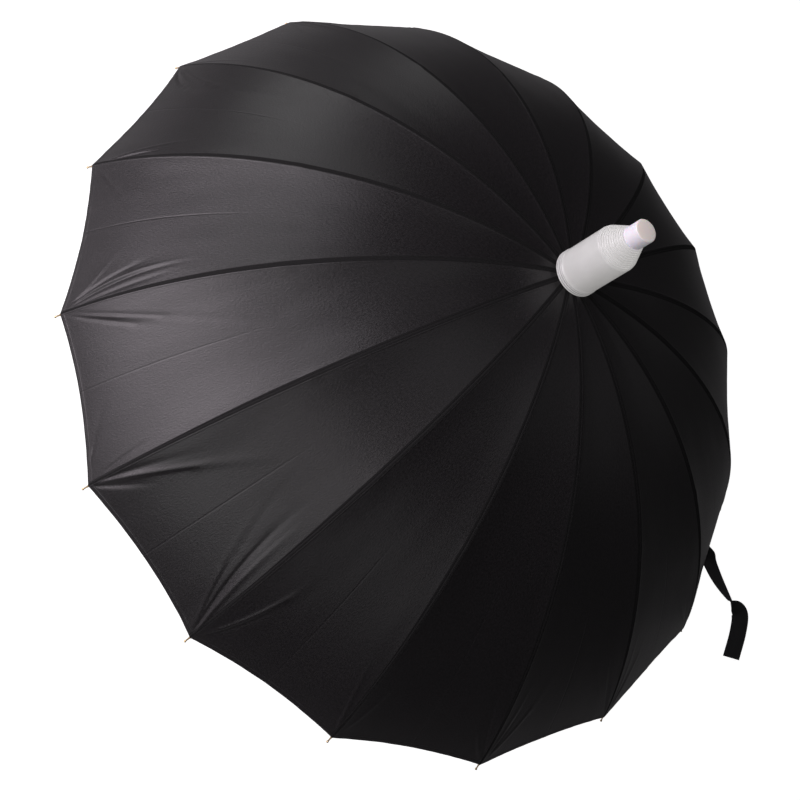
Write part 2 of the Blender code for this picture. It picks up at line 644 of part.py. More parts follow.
def make_cap():
    """The ferrule's cap, plugged into the last section and bored for the shaft's end."""
    low = SECTIONS_TOP - CAP_PLUG
    outline = ((BORE_RADIUS, low), (CAP_RADIUS, low), (CAP_RADIUS, CAP_TOP - CAP_EDGE),
               (CAP_RADIUS - CAP_EDGE, CAP_TOP), (0, CAP_TOP))
    outline = ((0, low + CAP_SOCKET), (BORE_RADIUS, low + CAP_SOCKET), *outline)
    place("ferrule_cap", turned("ferrule_cap", outline, SLEEVE_STEPS, closed=False), CAP)


clear_scene()
CUT = finish("cutter", (1, 0, 1), 1.0)
STEEL = finish("dark_steel", (0.06, 0.06, 0.065), 0.35, 0.9)
SPRING_STEEL = finish("spring_steel", (0.55, 0.55, 0.56), 0.3, 1.0)
CHROME = finish("bright_metal", (0.75, 0.75, 0.76), 0.2, 1.0)
GLASS_ROD = finish("glass_rod", (0.03, 0.03, 0.032), 0.4)
MOULDING = finish("black_moulding", (0.015, 0.015, 0.016), 0.4)
GRIP = finish("grip_rubber", (0.02, 0.02, 0.022), 0.6)
PONGEE = finish("black_pongee", (0.022, 0.020, 0.022), 0.65)
WEBBING = finish("black_webbing", (0.010, 0.010, 0.011), 0.85)
SLEEVE = finish("milky_plastic", (0.80, 0.79, 0.77), 0.3, alpha=0.8)
CAP = finish("cap_plastic", (0.76, 0.70, 0.68), 0.35)

make_shaft()
make_spring("open_catch_spring", RUNNER_END - CLEARANCE)
make_spring("closed_catch_spring", closed_spring_top())
make_handle()
make_crown()
make_runner()
make_ribs()
make_stretchers()
make_canopy()
make_strap()
make_sleeve()
make_cap()
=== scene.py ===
"""The open stick umbrella of the photo: its shown pieces, their materials, the stage, the lights and the camera."""

import json
import logging
import math
from dataclasses import dataclass, field
from enum import Enum
from functools import lru_cache
from typing import Any, Callable, Iterable, Sequence

import bmesh
import bpy
from mathutils import Matrix, Vector, noise
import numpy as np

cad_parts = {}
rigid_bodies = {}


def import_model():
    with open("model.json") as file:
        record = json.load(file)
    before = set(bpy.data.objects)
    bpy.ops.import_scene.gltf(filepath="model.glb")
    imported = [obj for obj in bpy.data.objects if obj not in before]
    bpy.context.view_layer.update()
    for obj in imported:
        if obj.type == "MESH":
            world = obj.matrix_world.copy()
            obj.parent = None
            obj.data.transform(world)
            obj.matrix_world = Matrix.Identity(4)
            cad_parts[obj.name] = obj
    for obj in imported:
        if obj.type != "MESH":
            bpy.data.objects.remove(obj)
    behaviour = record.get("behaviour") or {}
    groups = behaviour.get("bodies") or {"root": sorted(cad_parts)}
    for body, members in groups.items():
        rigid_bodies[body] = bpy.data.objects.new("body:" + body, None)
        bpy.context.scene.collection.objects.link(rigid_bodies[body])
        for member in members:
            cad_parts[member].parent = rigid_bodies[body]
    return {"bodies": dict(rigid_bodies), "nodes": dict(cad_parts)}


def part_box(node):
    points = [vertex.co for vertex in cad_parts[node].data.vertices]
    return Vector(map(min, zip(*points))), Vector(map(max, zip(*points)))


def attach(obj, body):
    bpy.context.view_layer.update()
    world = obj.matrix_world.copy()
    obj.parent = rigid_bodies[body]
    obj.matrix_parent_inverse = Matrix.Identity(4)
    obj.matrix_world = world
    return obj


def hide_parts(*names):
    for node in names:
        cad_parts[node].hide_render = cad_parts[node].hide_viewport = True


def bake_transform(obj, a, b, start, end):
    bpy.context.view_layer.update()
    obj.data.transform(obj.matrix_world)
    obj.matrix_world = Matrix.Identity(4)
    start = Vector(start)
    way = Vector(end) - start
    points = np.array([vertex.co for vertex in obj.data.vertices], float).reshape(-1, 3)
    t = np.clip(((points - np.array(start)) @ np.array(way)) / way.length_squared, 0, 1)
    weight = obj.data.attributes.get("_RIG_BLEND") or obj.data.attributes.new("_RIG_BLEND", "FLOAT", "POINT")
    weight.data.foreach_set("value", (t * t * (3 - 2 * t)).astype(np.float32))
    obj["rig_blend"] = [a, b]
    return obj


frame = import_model()

LOG = logging.getLogger("umbrella")
UP = Vector((0.0, 0.0, 1.0))
# The sleeve cup's beads, in metres: their spacing, and the height over its base where they end.
BEAD_PITCH = 0.0030
BEADS_END = 0.0092


def eased(value: float) -> float:
    """A smooth step.

    Args:
        value: The place along the step, which may lie outside it.

    Returns:
        0 before the step, 1 after it, and a smooth rise between.
    """
    value = min(max(value, 0.0), 1.0)
    return value * value * (3.0 - 2.0 * value)


def bell(value: float) -> float:
    """A bell curve.

    Args:
        value: Distance from the middle, in widths of the bell.

    Returns:
        1 in the middle, falling to 0 on both sides.
    """
    return math.exp(-value * value)


def running(places: Sequence[Vector]) -> list[float]:
    """Lengths along a line of points.

    Args:
        places: The points.

    Returns:
        The length from the first point to each.
    """
    lengths = [0.0]
    for before, after in zip(places, places[1:]):
        lengths.append(lengths[-1] + (after - before).length)
    return lengths


class Slot(Enum):
    """The record's material slots."""

    SHAFT = "shaft_steel"
    GRIP = "handle_grip"
    COLLAR = "collar_metal"
    HUB = "hub_plastic"
    SPRING = "spring_steel"
    CLOTH = "canopy_cloth"
    WEBBING = "strap_webbing"
    RIB = "rib_rod"
    STRETCHER = "stretcher_steel"
    SLEEVE = "sleeve_plastic"
    CAP = "cap_plastic"


@dataclass(frozen=True)
class Dome:
    """The sprung shape that ribs and cloth share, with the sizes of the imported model, in metres."""

    ribs: int = 16
    length: float = 0.600
    root_slope: float = math.radians(-6.1)
    tip_slope: float = math.radians(59.2)
    bend_power: float = 0.827
    hinge_radius: float = 0.0127324
    hinge_height: float = 0.746171
    rod_radius: float = 0.0016
    clearance: float = 0.0003
    hem_sag: float = 0.0095
    dip: float = 0.003
    steps: int = 480

    def slope_at(self, arc: float) -> float:
        """Downward slope of a rib.

        Args:
            arc: Length along the rib from the crown's wire.

        Returns:
            The slope in radians.
        """
        share = min(max(arc / self.length, 0.0), 1.0)
        return self.root_slope + (self.tip_slope - self.root_slope) * share**self.bend_power

    @lru_cache(maxsize=None)
    def table(self) -> tuple[tuple[float, float], ...]:
        """The rib's middle line.

        Returns:
            Radius and height over the wire at even steps along the rib.
        """
        step = self.length / self.steps
        radius, height = self.hinge_radius, 0.0
        places = [(radius, height)]
        for number in range(self.steps):
            slope = self.slope_at(step * (number + 0.5))
            radius += step * math.cos(slope)
            height -= step * math.sin(slope)
            places.append((radius, height))
        return tuple(places)

    def rib_at(self, arc: float, lift: float = 0.0) -> tuple[float, float]:
        """A place beside a rib.

        Args:
            arc: Length along the rib, which may run past either end.
            lift: Distance out of the dome from the rib's middle line.

        Returns:
            The place's radius and its height in the row frame.
        """
        places = self.table()
        at = arc / self.length * self.steps
        low = min(max(int(math.floor(at)), 0), self.steps - 1)
        share = at - low
        radius = places[low][0] + (places[low + 1][0] - places[low][0]) * share
        height = places[low][1] + (places[low + 1][1] - places[low][1]) * share
        slope = self.slope_at(arc)
        return radius + lift * math.sin(slope), self.hinge_height + height + lift * math.cos(slope)

    def outward(self, number: float) -> Vector:
        """Level direction away from the shaft.

        Args:
            number: The rib's number from 0; a fraction lies between two ribs.

        Returns:
            A unit vector.
        """
        turn = math.tau * number / self.ribs
        return Vector((math.cos(turn), math.sin(turn), 0.0))

    def on_rib(self, number: float, arc: float, lift: float = 0.0) -> Vector:
        """A point beside a rib.

        Args:
            number: The rib's number from 0.
            arc: Length along the rib.
            lift: Distance out of the dome.

        Returns:
            The point in the row frame.
        """
        radius, height = self.rib_at(arc, lift)
        return self.outward(number) * radius + UP * height + self.bend(number, arc)

    def out_of(self, number: float, arc: float) -> Vector:
        """Direction out of the dome at a rib.

        Args:
            number: The rib's number from 0.
            arc: Length along the rib.

        Returns:
            A unit vector.
        """
        slope = self.slope_at(arc)
        return self.outward(number) * math.sin(slope) + UP * math.cos(slope)

    def width_at(self, arc: float) -> float:
        """Distance between two neighbouring ribs.

        Args:
            arc: Length along both ribs.

        Returns:
            The gore's width there.
        """
        return 2.0 * self.rib_at(arc)[0] * math.sin(math.pi / self.ribs)

    def gore_area(self) -> float:
        """Area of the flat cut of one gore.

        Returns:
            The area in square metres, without what the hem's sag takes off.
        """
        step = self.length / self.steps
        whole = sum(self.width_at(step * (number + 0.5)) * step for number in range(self.steps))
        return whole - self.width_at(self.length) * self.hem_sag * 2.0 / 3.0

    def on_gore(self, gore: int, share: float, arc: float, lift: float = 0.0) -> Vector:
        """A point of the stretched cloth.

        Args:
            gore: The gore's number from 0, between that rib and the next one.
            share: Place across the gore, 0 at its own rib and 1 at the next.
            arc: Length along the gore; the hem's sag is taken off it.
            lift: Extra distance out of the dome.

        Returns:
            The point in the row frame.
        """
        bow = 4.0 * share * (1.0 - share)
        along = arc / self.length
        arc = arc - self.hem_sag * bow * along**3
        rise = self.rod_radius + self.clearance - self.dip * bow * math.sin(math.pi * min(along, 1.0)) + lift
        radius, height = self.rib_at(arc, rise)
        side = self.outward(gore).lerp(self.outward(gore + 1), share)
        shift = self.bend(gore, along * self.length).lerp(self.bend(gore + 1, along * self.length), share)
        return side * radius + UP * height + shift

    # How far each sprung rib's tip lies off the even dome, in millimetres: out of the dome, sideways and along.
    TIP_BENDS = (
        (8.1, 2.7, 3.2),
        (1.1, 1.1, 1.4),
        (-3.2, 0.0, -2.8),
        (-2.5, 1.8, -1.9),
        (-3.6, 2.8, -4.9),
        (0.6, 1.5, 1.6),
        (0.8, 0.5, 1.6),
        (4.6, 2.1, 6.4),
        (10.8, 1.7, 11.4),
        (11.3, 1.4, 7.1),
        (11.2, -3.2, 6.5),
        (3.8, -5.1, 3.1),
        (-3.0, -2.0, 1.0),
        (-1.0, 1.0, 0.5),
        (7.0, 3.0, 1.0),
        (17.9, 3.5, 1.8),
    )
    BEND_FROM = 0.320

    def bend(self, number: int, arc: float) -> Vector:
        """How far a sprung rib lies off the even dome.

        Args:
            number: The rib's number from 0.
            arc: Length along the rib.

        Returns:
            The shift, which is nothing up to the stretcher's joint.
        """
        share = max((arc - self.BEND_FROM) / (self.length - self.BEND_FROM), 0.0)
        out, side, along = self.TIP_BENDS[number % self.ribs]
        outward = self.outward(number)
        slope = self.tip_slope
        normal = outward * math.sin(slope) + UP * math.cos(slope)
        down = outward * math.cos(slope) - UP * math.sin(slope)
        return (normal * out + UP.cross(outward) * side + down * along) * (0.001 * share * share)


DOME = Dome()


class Signal:
    """A shader value that maths operators and calls work on."""

    def __init__(self, tree: bpy.types.NodeTree, socket: bpy.types.NodeSocket) -> None:
        """Wraps an output socket.

        Args:
            tree: The node tree that new nodes go into.
            socket: The output that this value comes from.
        """
        self.tree = tree
        self.socket = socket

    def feed(self, target: bpy.types.NodeSocket) -> None:
        """Links this value to an input.

        Args:
            target: The input socket.
        """
        self.tree.links.new(self.socket, target)

    def maths(self, operation: str, *others: "Signal | float") -> "Signal":
        """Adds a maths node.

        Args:
            operation: The node's operation.
            others: The values after this one.

        Returns:
            The node's result.
        """
        node = self.tree.nodes.new("ShaderNodeMath")
        node.operation = operation
        for target, value in zip(node.inputs, (self, *others)):
            if isinstance(value, Signal):
                value.feed(target)
            else:
                target.default_value = value
        return Signal(self.tree, node.outputs[0])

    def __add__(self, other: "Signal | float") -> "Signal":
        """This value plus another."""
        return self.maths("ADD", other)

    __radd__ = __add__

    def __mul__(self, other: "Signal | float") -> "Signal":
        """This value times another."""
        return self.maths("MULTIPLY", other)

    __rmul__ = __mul__

    def __sub__(self, other: "Signal | float") -> "Signal":
        """This value less another."""
        return self.maths("SUBTRACT", other)

    def __rsub__(self, other: float) -> "Signal":
        """A number less this value."""
        return (self * -1.0) + other

    def __abs__(self) -> "Signal":
        """This value without its sign."""
        return self.maths("ABSOLUTE")

    def wave(self, period: float) -> "Signal":
        """A sine of this value.

        Args:
            period: The length of one wave.

        Returns:
            A value from -1 to 1.
        """
        return (self * (math.tau / period)).maths("SINE")

    def fade(self, start: float, end: float) -> "Signal":
        """A smooth step of this value.

        Args:
            start: The value that gives 0.
            end: The value that gives 1, which may be below start.

        Returns:
            A value from 0 to 1.
        """
        node = self.tree.nodes.new("ShaderNodeMapRange")
        node.interpolation_type = "SMOOTHSTEP"
        self.feed(node.inputs["Value"])
        (low, first), (high, second) = sorted(((start, 0.0), (end, 1.0)))
        for key, number in (("From Min", low), ("From Max", high), ("To Min", first), ("To Max", second)):
            node.inputs[key].default_value = number
        return Signal(self.tree, node.outputs["Result"])

    def tint(self, first: Sequence[float], second: Sequence[float]) -> "Signal":
        """A colour between two colours.

        Args:
            first: The linear colour at 0.
            second: The linear colour at 1.

        Returns:
            The colour.
        """
        node = self.tree.nodes.new("ShaderNodeMix")
        node.data_type = "RGBA"
        self.feed(node.inputs["Factor"])
        node.inputs["A"].default_value = (*first, 1.0)
        node.inputs["B"].default_value = (*second, 1.0)
        return Signal(self.tree, node.outputs["Result"])


class Finish:
    """A procedural material under construction."""

    def __init__(self, name: str, colour: Sequence[float], roughness: float, **constants: Any) -> None:
        """Starts a material with plain values.

        Args:
            name: The material's name.
            colour: Linear base colour.
            roughness: The surface's roughness.
            constants: More of the shader's inputs, with _ for the space in a name.
        """
        self.material = bpy.data.materials.new(name)
        self.material.use_nodes = True
        self.tree = self.material.node_tree
        self.shader = self.tree.nodes["Principled BSDF"]
        self.shader.inputs["Base Color"].default_value = (*colour, 1.0)
        self.shader.inputs["Roughness"].default_value = roughness
        for key, value in constants.items():
            self.shader.inputs[key.replace("_", " ")].default_value = value

    def attribute(self, name: str) -> Signal:
        """A number that the mesh carries.

        Args:
            name: The attribute's name.

        Returns:
            Its value.
        """
        node = self.tree.nodes.new("ShaderNodeAttribute")
        node.attribute_name = name
        return Signal(self.tree, node.outputs["Fac"])

    def place(self) -> Signal:
        """The piece's own coordinates, in metres.

        Returns:
            A vector value.
        """
        node = self.tree.nodes.new("ShaderNodeTexCoord")
        return Signal(self.tree, node.outputs["Object"])

    def flat(self) -> Signal:
        """The mesh's own flat coordinates, in metres.

        Returns:
            A vector value.
        """
        node = self.tree.nodes.new("ShaderNodeUVMap")
        node.uv_map = Sheet.UV_MAP
        return Signal(self.tree, node.outputs["UV"])

    def split(self, vector: Signal) -> tuple[Signal, Signal, Signal]:
        """The three numbers of a vector.

        Args:
            vector: A vector value.

        Returns:
            Its x, y and z.
        """
        node = self.tree.nodes.new("ShaderNodeSeparateXYZ")
        vector.feed(node.inputs[0])
        return tuple(Signal(self.tree, socket) for socket in node.outputs)

    def stretched(self, vector: Signal, scale: Sequence[float]) -> Signal:
        """A vector with its axes scaled.

        Args:
            vector: A vector value.
            scale: The factor on each axis.

        Returns:
            The scaled vector.
        """
        node = self.tree.nodes.new("ShaderNodeMapping")
        vector.feed(node.inputs["Vector"])
        node.inputs["Scale"].default_value = scale
        return Signal(self.tree, node.outputs["Vector"])

    def grain(self, vector: Signal, scale: float, detail: float = 2.0, rough: float = 0.5) -> Signal:
        """Soft random noise.

        Args:
            vector: The coordinates it is laid on.
            scale: Noise cells in a unit of them.
            detail: How many finer layers are added.
            rough: The finer layers' strength.

        Returns:
            A value round 0.5.
        """
        node = self.tree.nodes.new("ShaderNodeTexNoise")
        vector.feed(node.inputs["Vector"])
        node.inputs["Scale"].default_value = scale
        node.inputs["Detail"].default_value = detail
        node.inputs["Roughness"].default_value = rough
        return Signal(self.tree, node.outputs["Fac"])

    def vary(self, name: str, value: Signal) -> None:
        """Sets one of the shader's inputs to a value that changes over the surface.

        Args:
            name: The input's name.
            value: The value.
        """
        value.feed(self.shader.inputs[name])

    def relief(self, height: Signal, depth: float, strength: float = 1.0) -> None:
        """Sets a bumpy surface.

        Args:
            height: The height in units of the depth.
            depth: The bump's depth in metres.
            strength: How much of it shows.
        """
        node = self.tree.nodes.new("ShaderNodeBump")
        height.feed(node.inputs["Height"])
        node.inputs["Distance"].default_value = depth
        node.inputs["Strength"].default_value = strength
        self.tree.links.new(node.outputs["Normal"], self.shader.inputs["Normal"])


class Finishes:
    """Every material of the umbrella, made once each."""

    def __init__(self) -> None:
        """Makes them all."""
        self.cloth = self._cloth()
        self.webbing = self._webbing()
        self.milky = self._milky()
        self.cap = self._cap()
        self.rod = self._metal("rib_black", (0.030, 0.030, 0.032), 0.38, 0.6)
        self.gilt = self._metal("tip_gilt", (0.72, 0.56, 0.34), 0.28, 1.0)
        self.steel = self._metal("stretcher_steel", (0.10, 0.10, 0.105), 0.33, 0.9)
        self.chrome = self._metal("shaft_chrome", (0.62, 0.62, 0.64), 0.16, 1.0)
        self.spring = self._metal("spring_steel", (0.52, 0.52, 0.53), 0.30, 1.0)
        self.moulding = self._moulded("hub_moulding", (0.016, 0.016, 0.017), 0.40, 0.00006)
        self.grip = self._moulded("grip_rubber", (0.020, 0.020, 0.021), 0.55, 0.00012)

    def _cloth(self) -> bpy.types.Material:
        """The canopy's black pongee, with its weave, creases, painted seam shade and hem stitches.

        Returns:
            The material.
        """
        made = Finish("canopy_pongee", (0.02, 0.018, 0.02), 0.5, Specular_IOR_Level=0.5)
        flat = made.flat()
        across, _, _ = made.split(flat)
        before, after, hem = made.attribute("before"), made.attribute("after"), made.attribute("hem")
        # Painted shade along each seam: a band on the after side, wider towards the crown, where the cloth meets
        # the rib, and a thin line on the before side.
        reach = hem.fade(0.0, 0.27) * 0.0030
        band = (after - reach).fade(0.0031, 0.0020).maths("MAXIMUM", before.fade(0.0010, 0.0005))
        edge = hem.fade(0.0018, 0.0008)
        # dark is the painted seam shade together with the darker hem edge; it darkens the base colour.
        dark = band.maths("MAXIMUM", edge)
        grain = made.grain(made.stretched(flat, (1.0, 0.7, 1.0)), 460.0, 3.0, 0.75)
        cloud = made.grain(flat, 9.0, 3.0)
        tone = grain.fade(0.25, 0.75) * 0.6 + cloud * 0.25 + 0.1
        made.vary("Base Color", (tone * (1.0 - dark * 0.85)).tint((0.003, 0.0026, 0.003), (0.018, 0.0155, 0.0175)))
        made.vary("Roughness", grain * 0.26 + 0.23 + dark * 0.45)
        # Metallic on the painted seam shade takes away the gloss there, so the shade reads darker.
        made.vary("Metallic", band * 0.4)
        weave = made.grain(made.stretched(flat, (1.0, 0.45, 1.0)), 620.0, 2.0, 0.7) * 0.9
        crush = made.grain(made.stretched(flat, (1.0, 0.4, 1.0)), 30.0, 4.0, 0.6) * 0.8
        crease = abs(across + 0.0035).fade(0.0016, 0.0) * hem.fade(0.26, 0.16) * -0.6
        lip = abs(before - 0.0016).fade(0.0013, 0.0) * 0.5 - abs(after - 0.0026).fade(0.0012, 0.0) * 0.9
        stitch = abs(hem - 0.0060).fade(0.0010, 0.0) * -0.6
        made.relief(weave + crush + crease + lip + stitch, 0.00035, 0.8)
        return made.material

    def _webbing(self) -> bpy.types.Material:
        """The strap's black webbing, ribbed across its length.

        Returns:
            The material.
        """
        made = Finish("strap_webbing", (0.010, 0.010, 0.011), 0.8, Specular_IOR_Level=0.25)
        flat = made.flat()
        across, along, _ = made.split(flat)
        ribs = along.wave(0.0013) * across.wave(0.0011) * 0.5 + 0.5
        fuzz = made.grain(flat, 1400.0)
        made.vary("Base Color", (ribs * 0.5 + fuzz * 0.5).tint((0.006, 0.006, 0.007), (0.020, 0.020, 0.021)))
        made.relief(ribs + fuzz * 0.6, 0.0003)
        return made.material

    def _milky(self) -> bpy.types.Material:
        """The drip sleeve's milky plastic, with painted shade in the grooves between its beads and a painted glow
        that stands in for light through the plastic.

        Returns:
            The material.
        """
        made = Finish(
            "sleeve_milky",
            (0.8, 0.8, 0.79),
            0.2,
            Subsurface_Weight=0.4,
            Subsurface_Radius=(1.0, 0.95, 0.9),
            Subsurface_Scale=0.010,
            # Emission here is a painted glow: the plastic gives light though it is no lamp.
            Emission_Strength=0.285,
        )
        place = made.place()
        cloud = made.grain(place, 55.0, 3.0)
        height = made.split(place)[2]
        low, top = (corner.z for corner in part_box("sleeve_cup"))
        beads = (height - low).fade(BEADS_END, BEADS_END - 0.0006)
        # Painted shade in the grooves between the beads, taken off the plastic's tone.
        groove_shade = (height - (low + 0.00085)).wave(BEAD_PITCH).fade(-0.1, -0.8) * beads
        light = 0.92 + cloud.fade(0.3, 0.7) * 0.04 + height.fade(low + 0.02, low + 0.10) * 0.04 - groove_shade * 0.45
        made.vary("Base Color", light.tint((0.04, 0.04, 0.05), (0.42, 0.42, 0.42)))
        # The emission colour is the painted glow, stronger above the cup's top edge and keeping the painted groove
        # shade.
        glow = light * (height.fade(top - 0.001, top + 0.001) * 0.16 + 0.84)
        made.vary("Emission Color", glow.tint((0.0, 0.0, 0.0), (1.0, 0.98, 0.96)))
        made.vary("Roughness", cloud * 0.08 + 0.13)
        made.relief(made.grain(place, 60.0), 0.0001, 0.4)
        return made.material

    def _cap(self) -> bpy.types.Material:
        """The ferrule cap's warm white plastic, with a painted glow, and its end face tinted brighter and warmer
        than the side as painted light.

        Returns:
            The material.
        """
        made = Finish(
            "cap_plastic",
            (0.74, 0.70, 0.70),
            0.38,
            Subsurface_Weight=0.2,
            Subsurface_Scale=0.008,
            # Emission here is a painted glow: the cap gives light though it is no lamp.
            Emission_Strength=0.14,
        )
        place = made.place()
        # The end face is tinted brighter and warmer than the side: painted light that makes up for the light the
        # end face lacks.
        end = made.split(place)[2].fade(0.8695, 0.8704)
        made.vary("Base Color", end.tint((0.76, 0.72, 0.80), (0.98, 0.85, 0.79)))
        made.relief(made.grain(place, 240.0), 0.00015, 0.5)
        return made.material

    def _metal(self, name: str, colour: Sequence[float], roughness: float, metallic: float) -> bpy.types.Material:
        """A drawn metal with faint wear.

        Args:
            name: The material's name.
            colour: Linear base colour.
            roughness: Its middle roughness.
            metallic: How metallic it is.

        Returns:
            The material.
        """
        made = Finish(name, colour, roughness, Metallic=metallic)
        place = made.place()
        wear = made.grain(place, 210.0, 4.0, 0.6)
        made.vary("Roughness", wear * 0.24 + (roughness - 0.12))
        made.relief(made.grain(made.stretched(place, (1.0, 1.0, 0.2)), 900.0), 0.00004, 0.5)
        return made.material

    def _moulded(self, name: str, colour: Sequence[float], roughness: float, depth: float) -> bpy.types.Material:
        """A moulded surface with a fine grain.

        Args:
            name: The material's name.
            colour: Linear base colour.
            roughness: Its middle roughness.
            depth: The grain's depth.

        Returns:
            The material.
        """
        made = Finish(name, colour, roughness)
        place = made.place()
        made.vary("Roughness", made.grain(place, 90.0, 3.0) * 0.2 + (roughness - 0.1))
        made.relief(made.grain(place, 1800.0, 2.0), depth)
        return made.material


@dataclass
class Sheet:
    """A rectangular net of faces in a mesh under construction, with rows that run along it."""

    UV_MAP = "cloth"

    columns: int
    rows: int
    bm: bmesh.types.BMesh = field(default_factory=bmesh.new)

    def lay(
        self,
        point: Callable[[int, int], Vector],
        flat: Callable[[int, int], tuple[float, float]],
        numbers: dict[str, Callable[[int, int], float]] | None = None,
    ) -> list[bmesh.types.BMVert]:
        """Adds the net.

        Args:
            point: Place of the corner at a column and a row.
            flat: Flat coordinates of that corner, in metres.
            numbers: Named numbers that each corner carries.

        Returns:
            The corners made.
        """
        maps = self.bm.loops.layers.uv
        uv = maps.get(self.UV_MAP) or maps.new(self.UV_MAP)
        stored = self.bm.verts.layers.float
        layers = {key: stored.get(key) or stored.new(key) for key in numbers or {}}
        layers = {key: stored.get(key) for key in layers}
        made = bmesh.ops.create_grid(self.bm, x_segments=self.columns, y_segments=self.rows, size=0.5)["verts"]
        cells = {
            vert: (round((vert.co.x + 0.5) * self.columns), round((vert.co.y + 0.5) * self.rows)) for vert in made
        }
        for key, layer in layers.items():
            for vert in made:
                vert[layer] = numbers[key](*cells[vert])
        for face in {face for vert in made for face in vert.link_faces}:
            face.smooth = True
            for loop in face.loops:
                loop[uv].uv = flat(*cells[loop.vert])
        for vert in made:
            vert.co = point(*cells[vert])
        return made


@dataclass
class Maker:
    """Turns meshes under construction into shown pieces."""

    finishes: Finishes

    def piece(
        self,
        name: str,
        bm: bmesh.types.BMesh,
        materials: Sequence[bpy.types.Material],
        slot: Slot,
        smooth: bool = True,
    ) -> bpy.types.Object:
        """Makes an object of a mesh.

        Args:
            name: The piece's name.
            bm: The mesh, which is freed.
            materials: Its materials, in the order of the faces' indices.
            slot: The record's slot for the piece's finish; not used.
            smooth: Whether all its faces are made smooth.

        Returns:
            The object, at the origin.
        """
        for face in bm.faces:
            face.smooth = face.smooth or smooth
        mesh = bpy.data.meshes.new(name)
        bm.to_mesh(mesh)
        bm.free()
        for material in materials:
            mesh.materials.append(material)
        made = bpy.data.objects.new(name, mesh)
        bpy.context.scene.collection.objects.link(made)
        LOG.info("made %s, %d faces", name, len(mesh.polygons))
        return made

    def rigid(
        self,
        name: str,
        bm: bmesh.types.BMesh,
        material: bpy.types.Material,
        slot: Slot,
        node: str,
        body: str = "umbrella",
    ) -> bpy.types.Object:
        """Makes a stiff piece that stands for a CAD node.

        Args:
            name: The piece's name.
            bm: The mesh, which is freed.
            material: Its material.
            slot: The record's slot that its finish comes from.
            node: The node.
            body: The body it rides on.

        Returns:
            The object.
        """
        made = self.piece(name, bm, [material], slot)
        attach(made, body)
        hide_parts(node)
        return made

    @staticmethod
    def turned(outline: Sequence[tuple[float, float]], steps: int) -> bmesh.types.BMesh:
        """A body turned round the upright axis.

        Args:
            outline: Closed outline as radius and height.
            steps: Sides round the axis.

        Returns:
            The mesh.
        """
        bm = bmesh.new()
        ring = [bm.verts.new((radius, 0.0, height)) for radius, height in outline]
        edges = [bm.edges.new((a, b)) for a, b in zip(ring, ring[1:] + ring[:1])]
        bmesh.ops.spin(
            bm, geom=ring + edges, cent=(0, 0, 0), axis=(0, 0, 1), angle=math.tau, steps=steps, use_merge=True
        )
        bmesh.ops.remove_doubles(bm, verts=bm.verts[:], dist=1e-7)
        bmesh.ops.recalc_face_normals(bm, faces=bm.faces[:])
        return bm

    @staticmethod
    def swept(
        stations: Sequence[tuple[Vector, Vector, Vector]],
        section: Callable[[int], Sequence[tuple[float, float]]],
        bm: bmesh.types.BMesh | None = None,
        material: int = 0,
    ) -> bmesh.types.BMesh:
        """A bar swept along stations, with closed ends.

        Args:
            stations: Middle and two cross directions at each.
            section: The outline at a station, as places along the two cross directions.
            bm: The mesh to add to.
            material: Index of the bar's material.

        Returns:
            The mesh.
        """
        bm = bm or bmesh.new()
        sides = len(section(0))
        net = Sheet(sides, len(stations) - 1, bm)
        outlines = [section(number) for number in range(len(stations))]
        lengths = running([centre for centre, _, _ in stations])

        def point(column: int, row: int) -> Vector:
            """Place of a corner of the bar."""
            centre, right, up = stations[row]
            x, y = outlines[row][column % sides]
            return centre + right * x + up * y

        middle = outlines[len(outlines) // 2]
        girth = running([Vector(place) for place in (*middle, middle[0])])
        made = net.lay(point, lambda column, row: (girth[column], lengths[row]))
        bmesh.ops.remove_doubles(bm, verts=made, dist=1e-7)
        kept = [vert for vert in made if vert.is_valid]
        edges = {edge for vert in kept for edge in vert.link_edges if edge.is_boundary}
        filled = bmesh.ops.holes_fill(bm, edges=list(edges), sides=0)["faces"]
        faces = {face for vert in kept for face in vert.link_faces} | set(filled)
        for face in faces:
            face.material_index = material
        bmesh.ops.recalc_face_normals(bm, faces=list(faces))
        return bm


def rounded(width: float, height: float, edge: float) -> list[tuple[float, float]]:
    """A rectangle with round corners.

    Args:
        width: Its whole width.
        height: Its whole height.
        edge: The corners' radius.

    Returns:
        The outline's points.
    """
    points, steps = [], 3
    for quarter, (x, y) in enumerate(((1, 1), (-1, 1), (-1, -1), (1, -1))):
        for step in range(steps + 1):
            turn = math.pi / 2 * (quarter + step / steps)
            points.append(
                (x * (width / 2 - edge) + edge * math.cos(turn), y * (height / 2 - edge) + edge * math.sin(turn))
            )
    return points


def disc(radius: float, sides: int, flat: float = 1.0) -> list[tuple[float, float]]:
    """A round outline.

    Args:
        radius: Its radius.
        sides: Its number of points.
        flat: Factor on the second direction.

    Returns:
        The outline's points.
    """
    return [
        (radius * math.cos(math.tau * i / sides), radius * flat * math.sin(math.tau * i / sides))
        for i in range(sides)
    ]


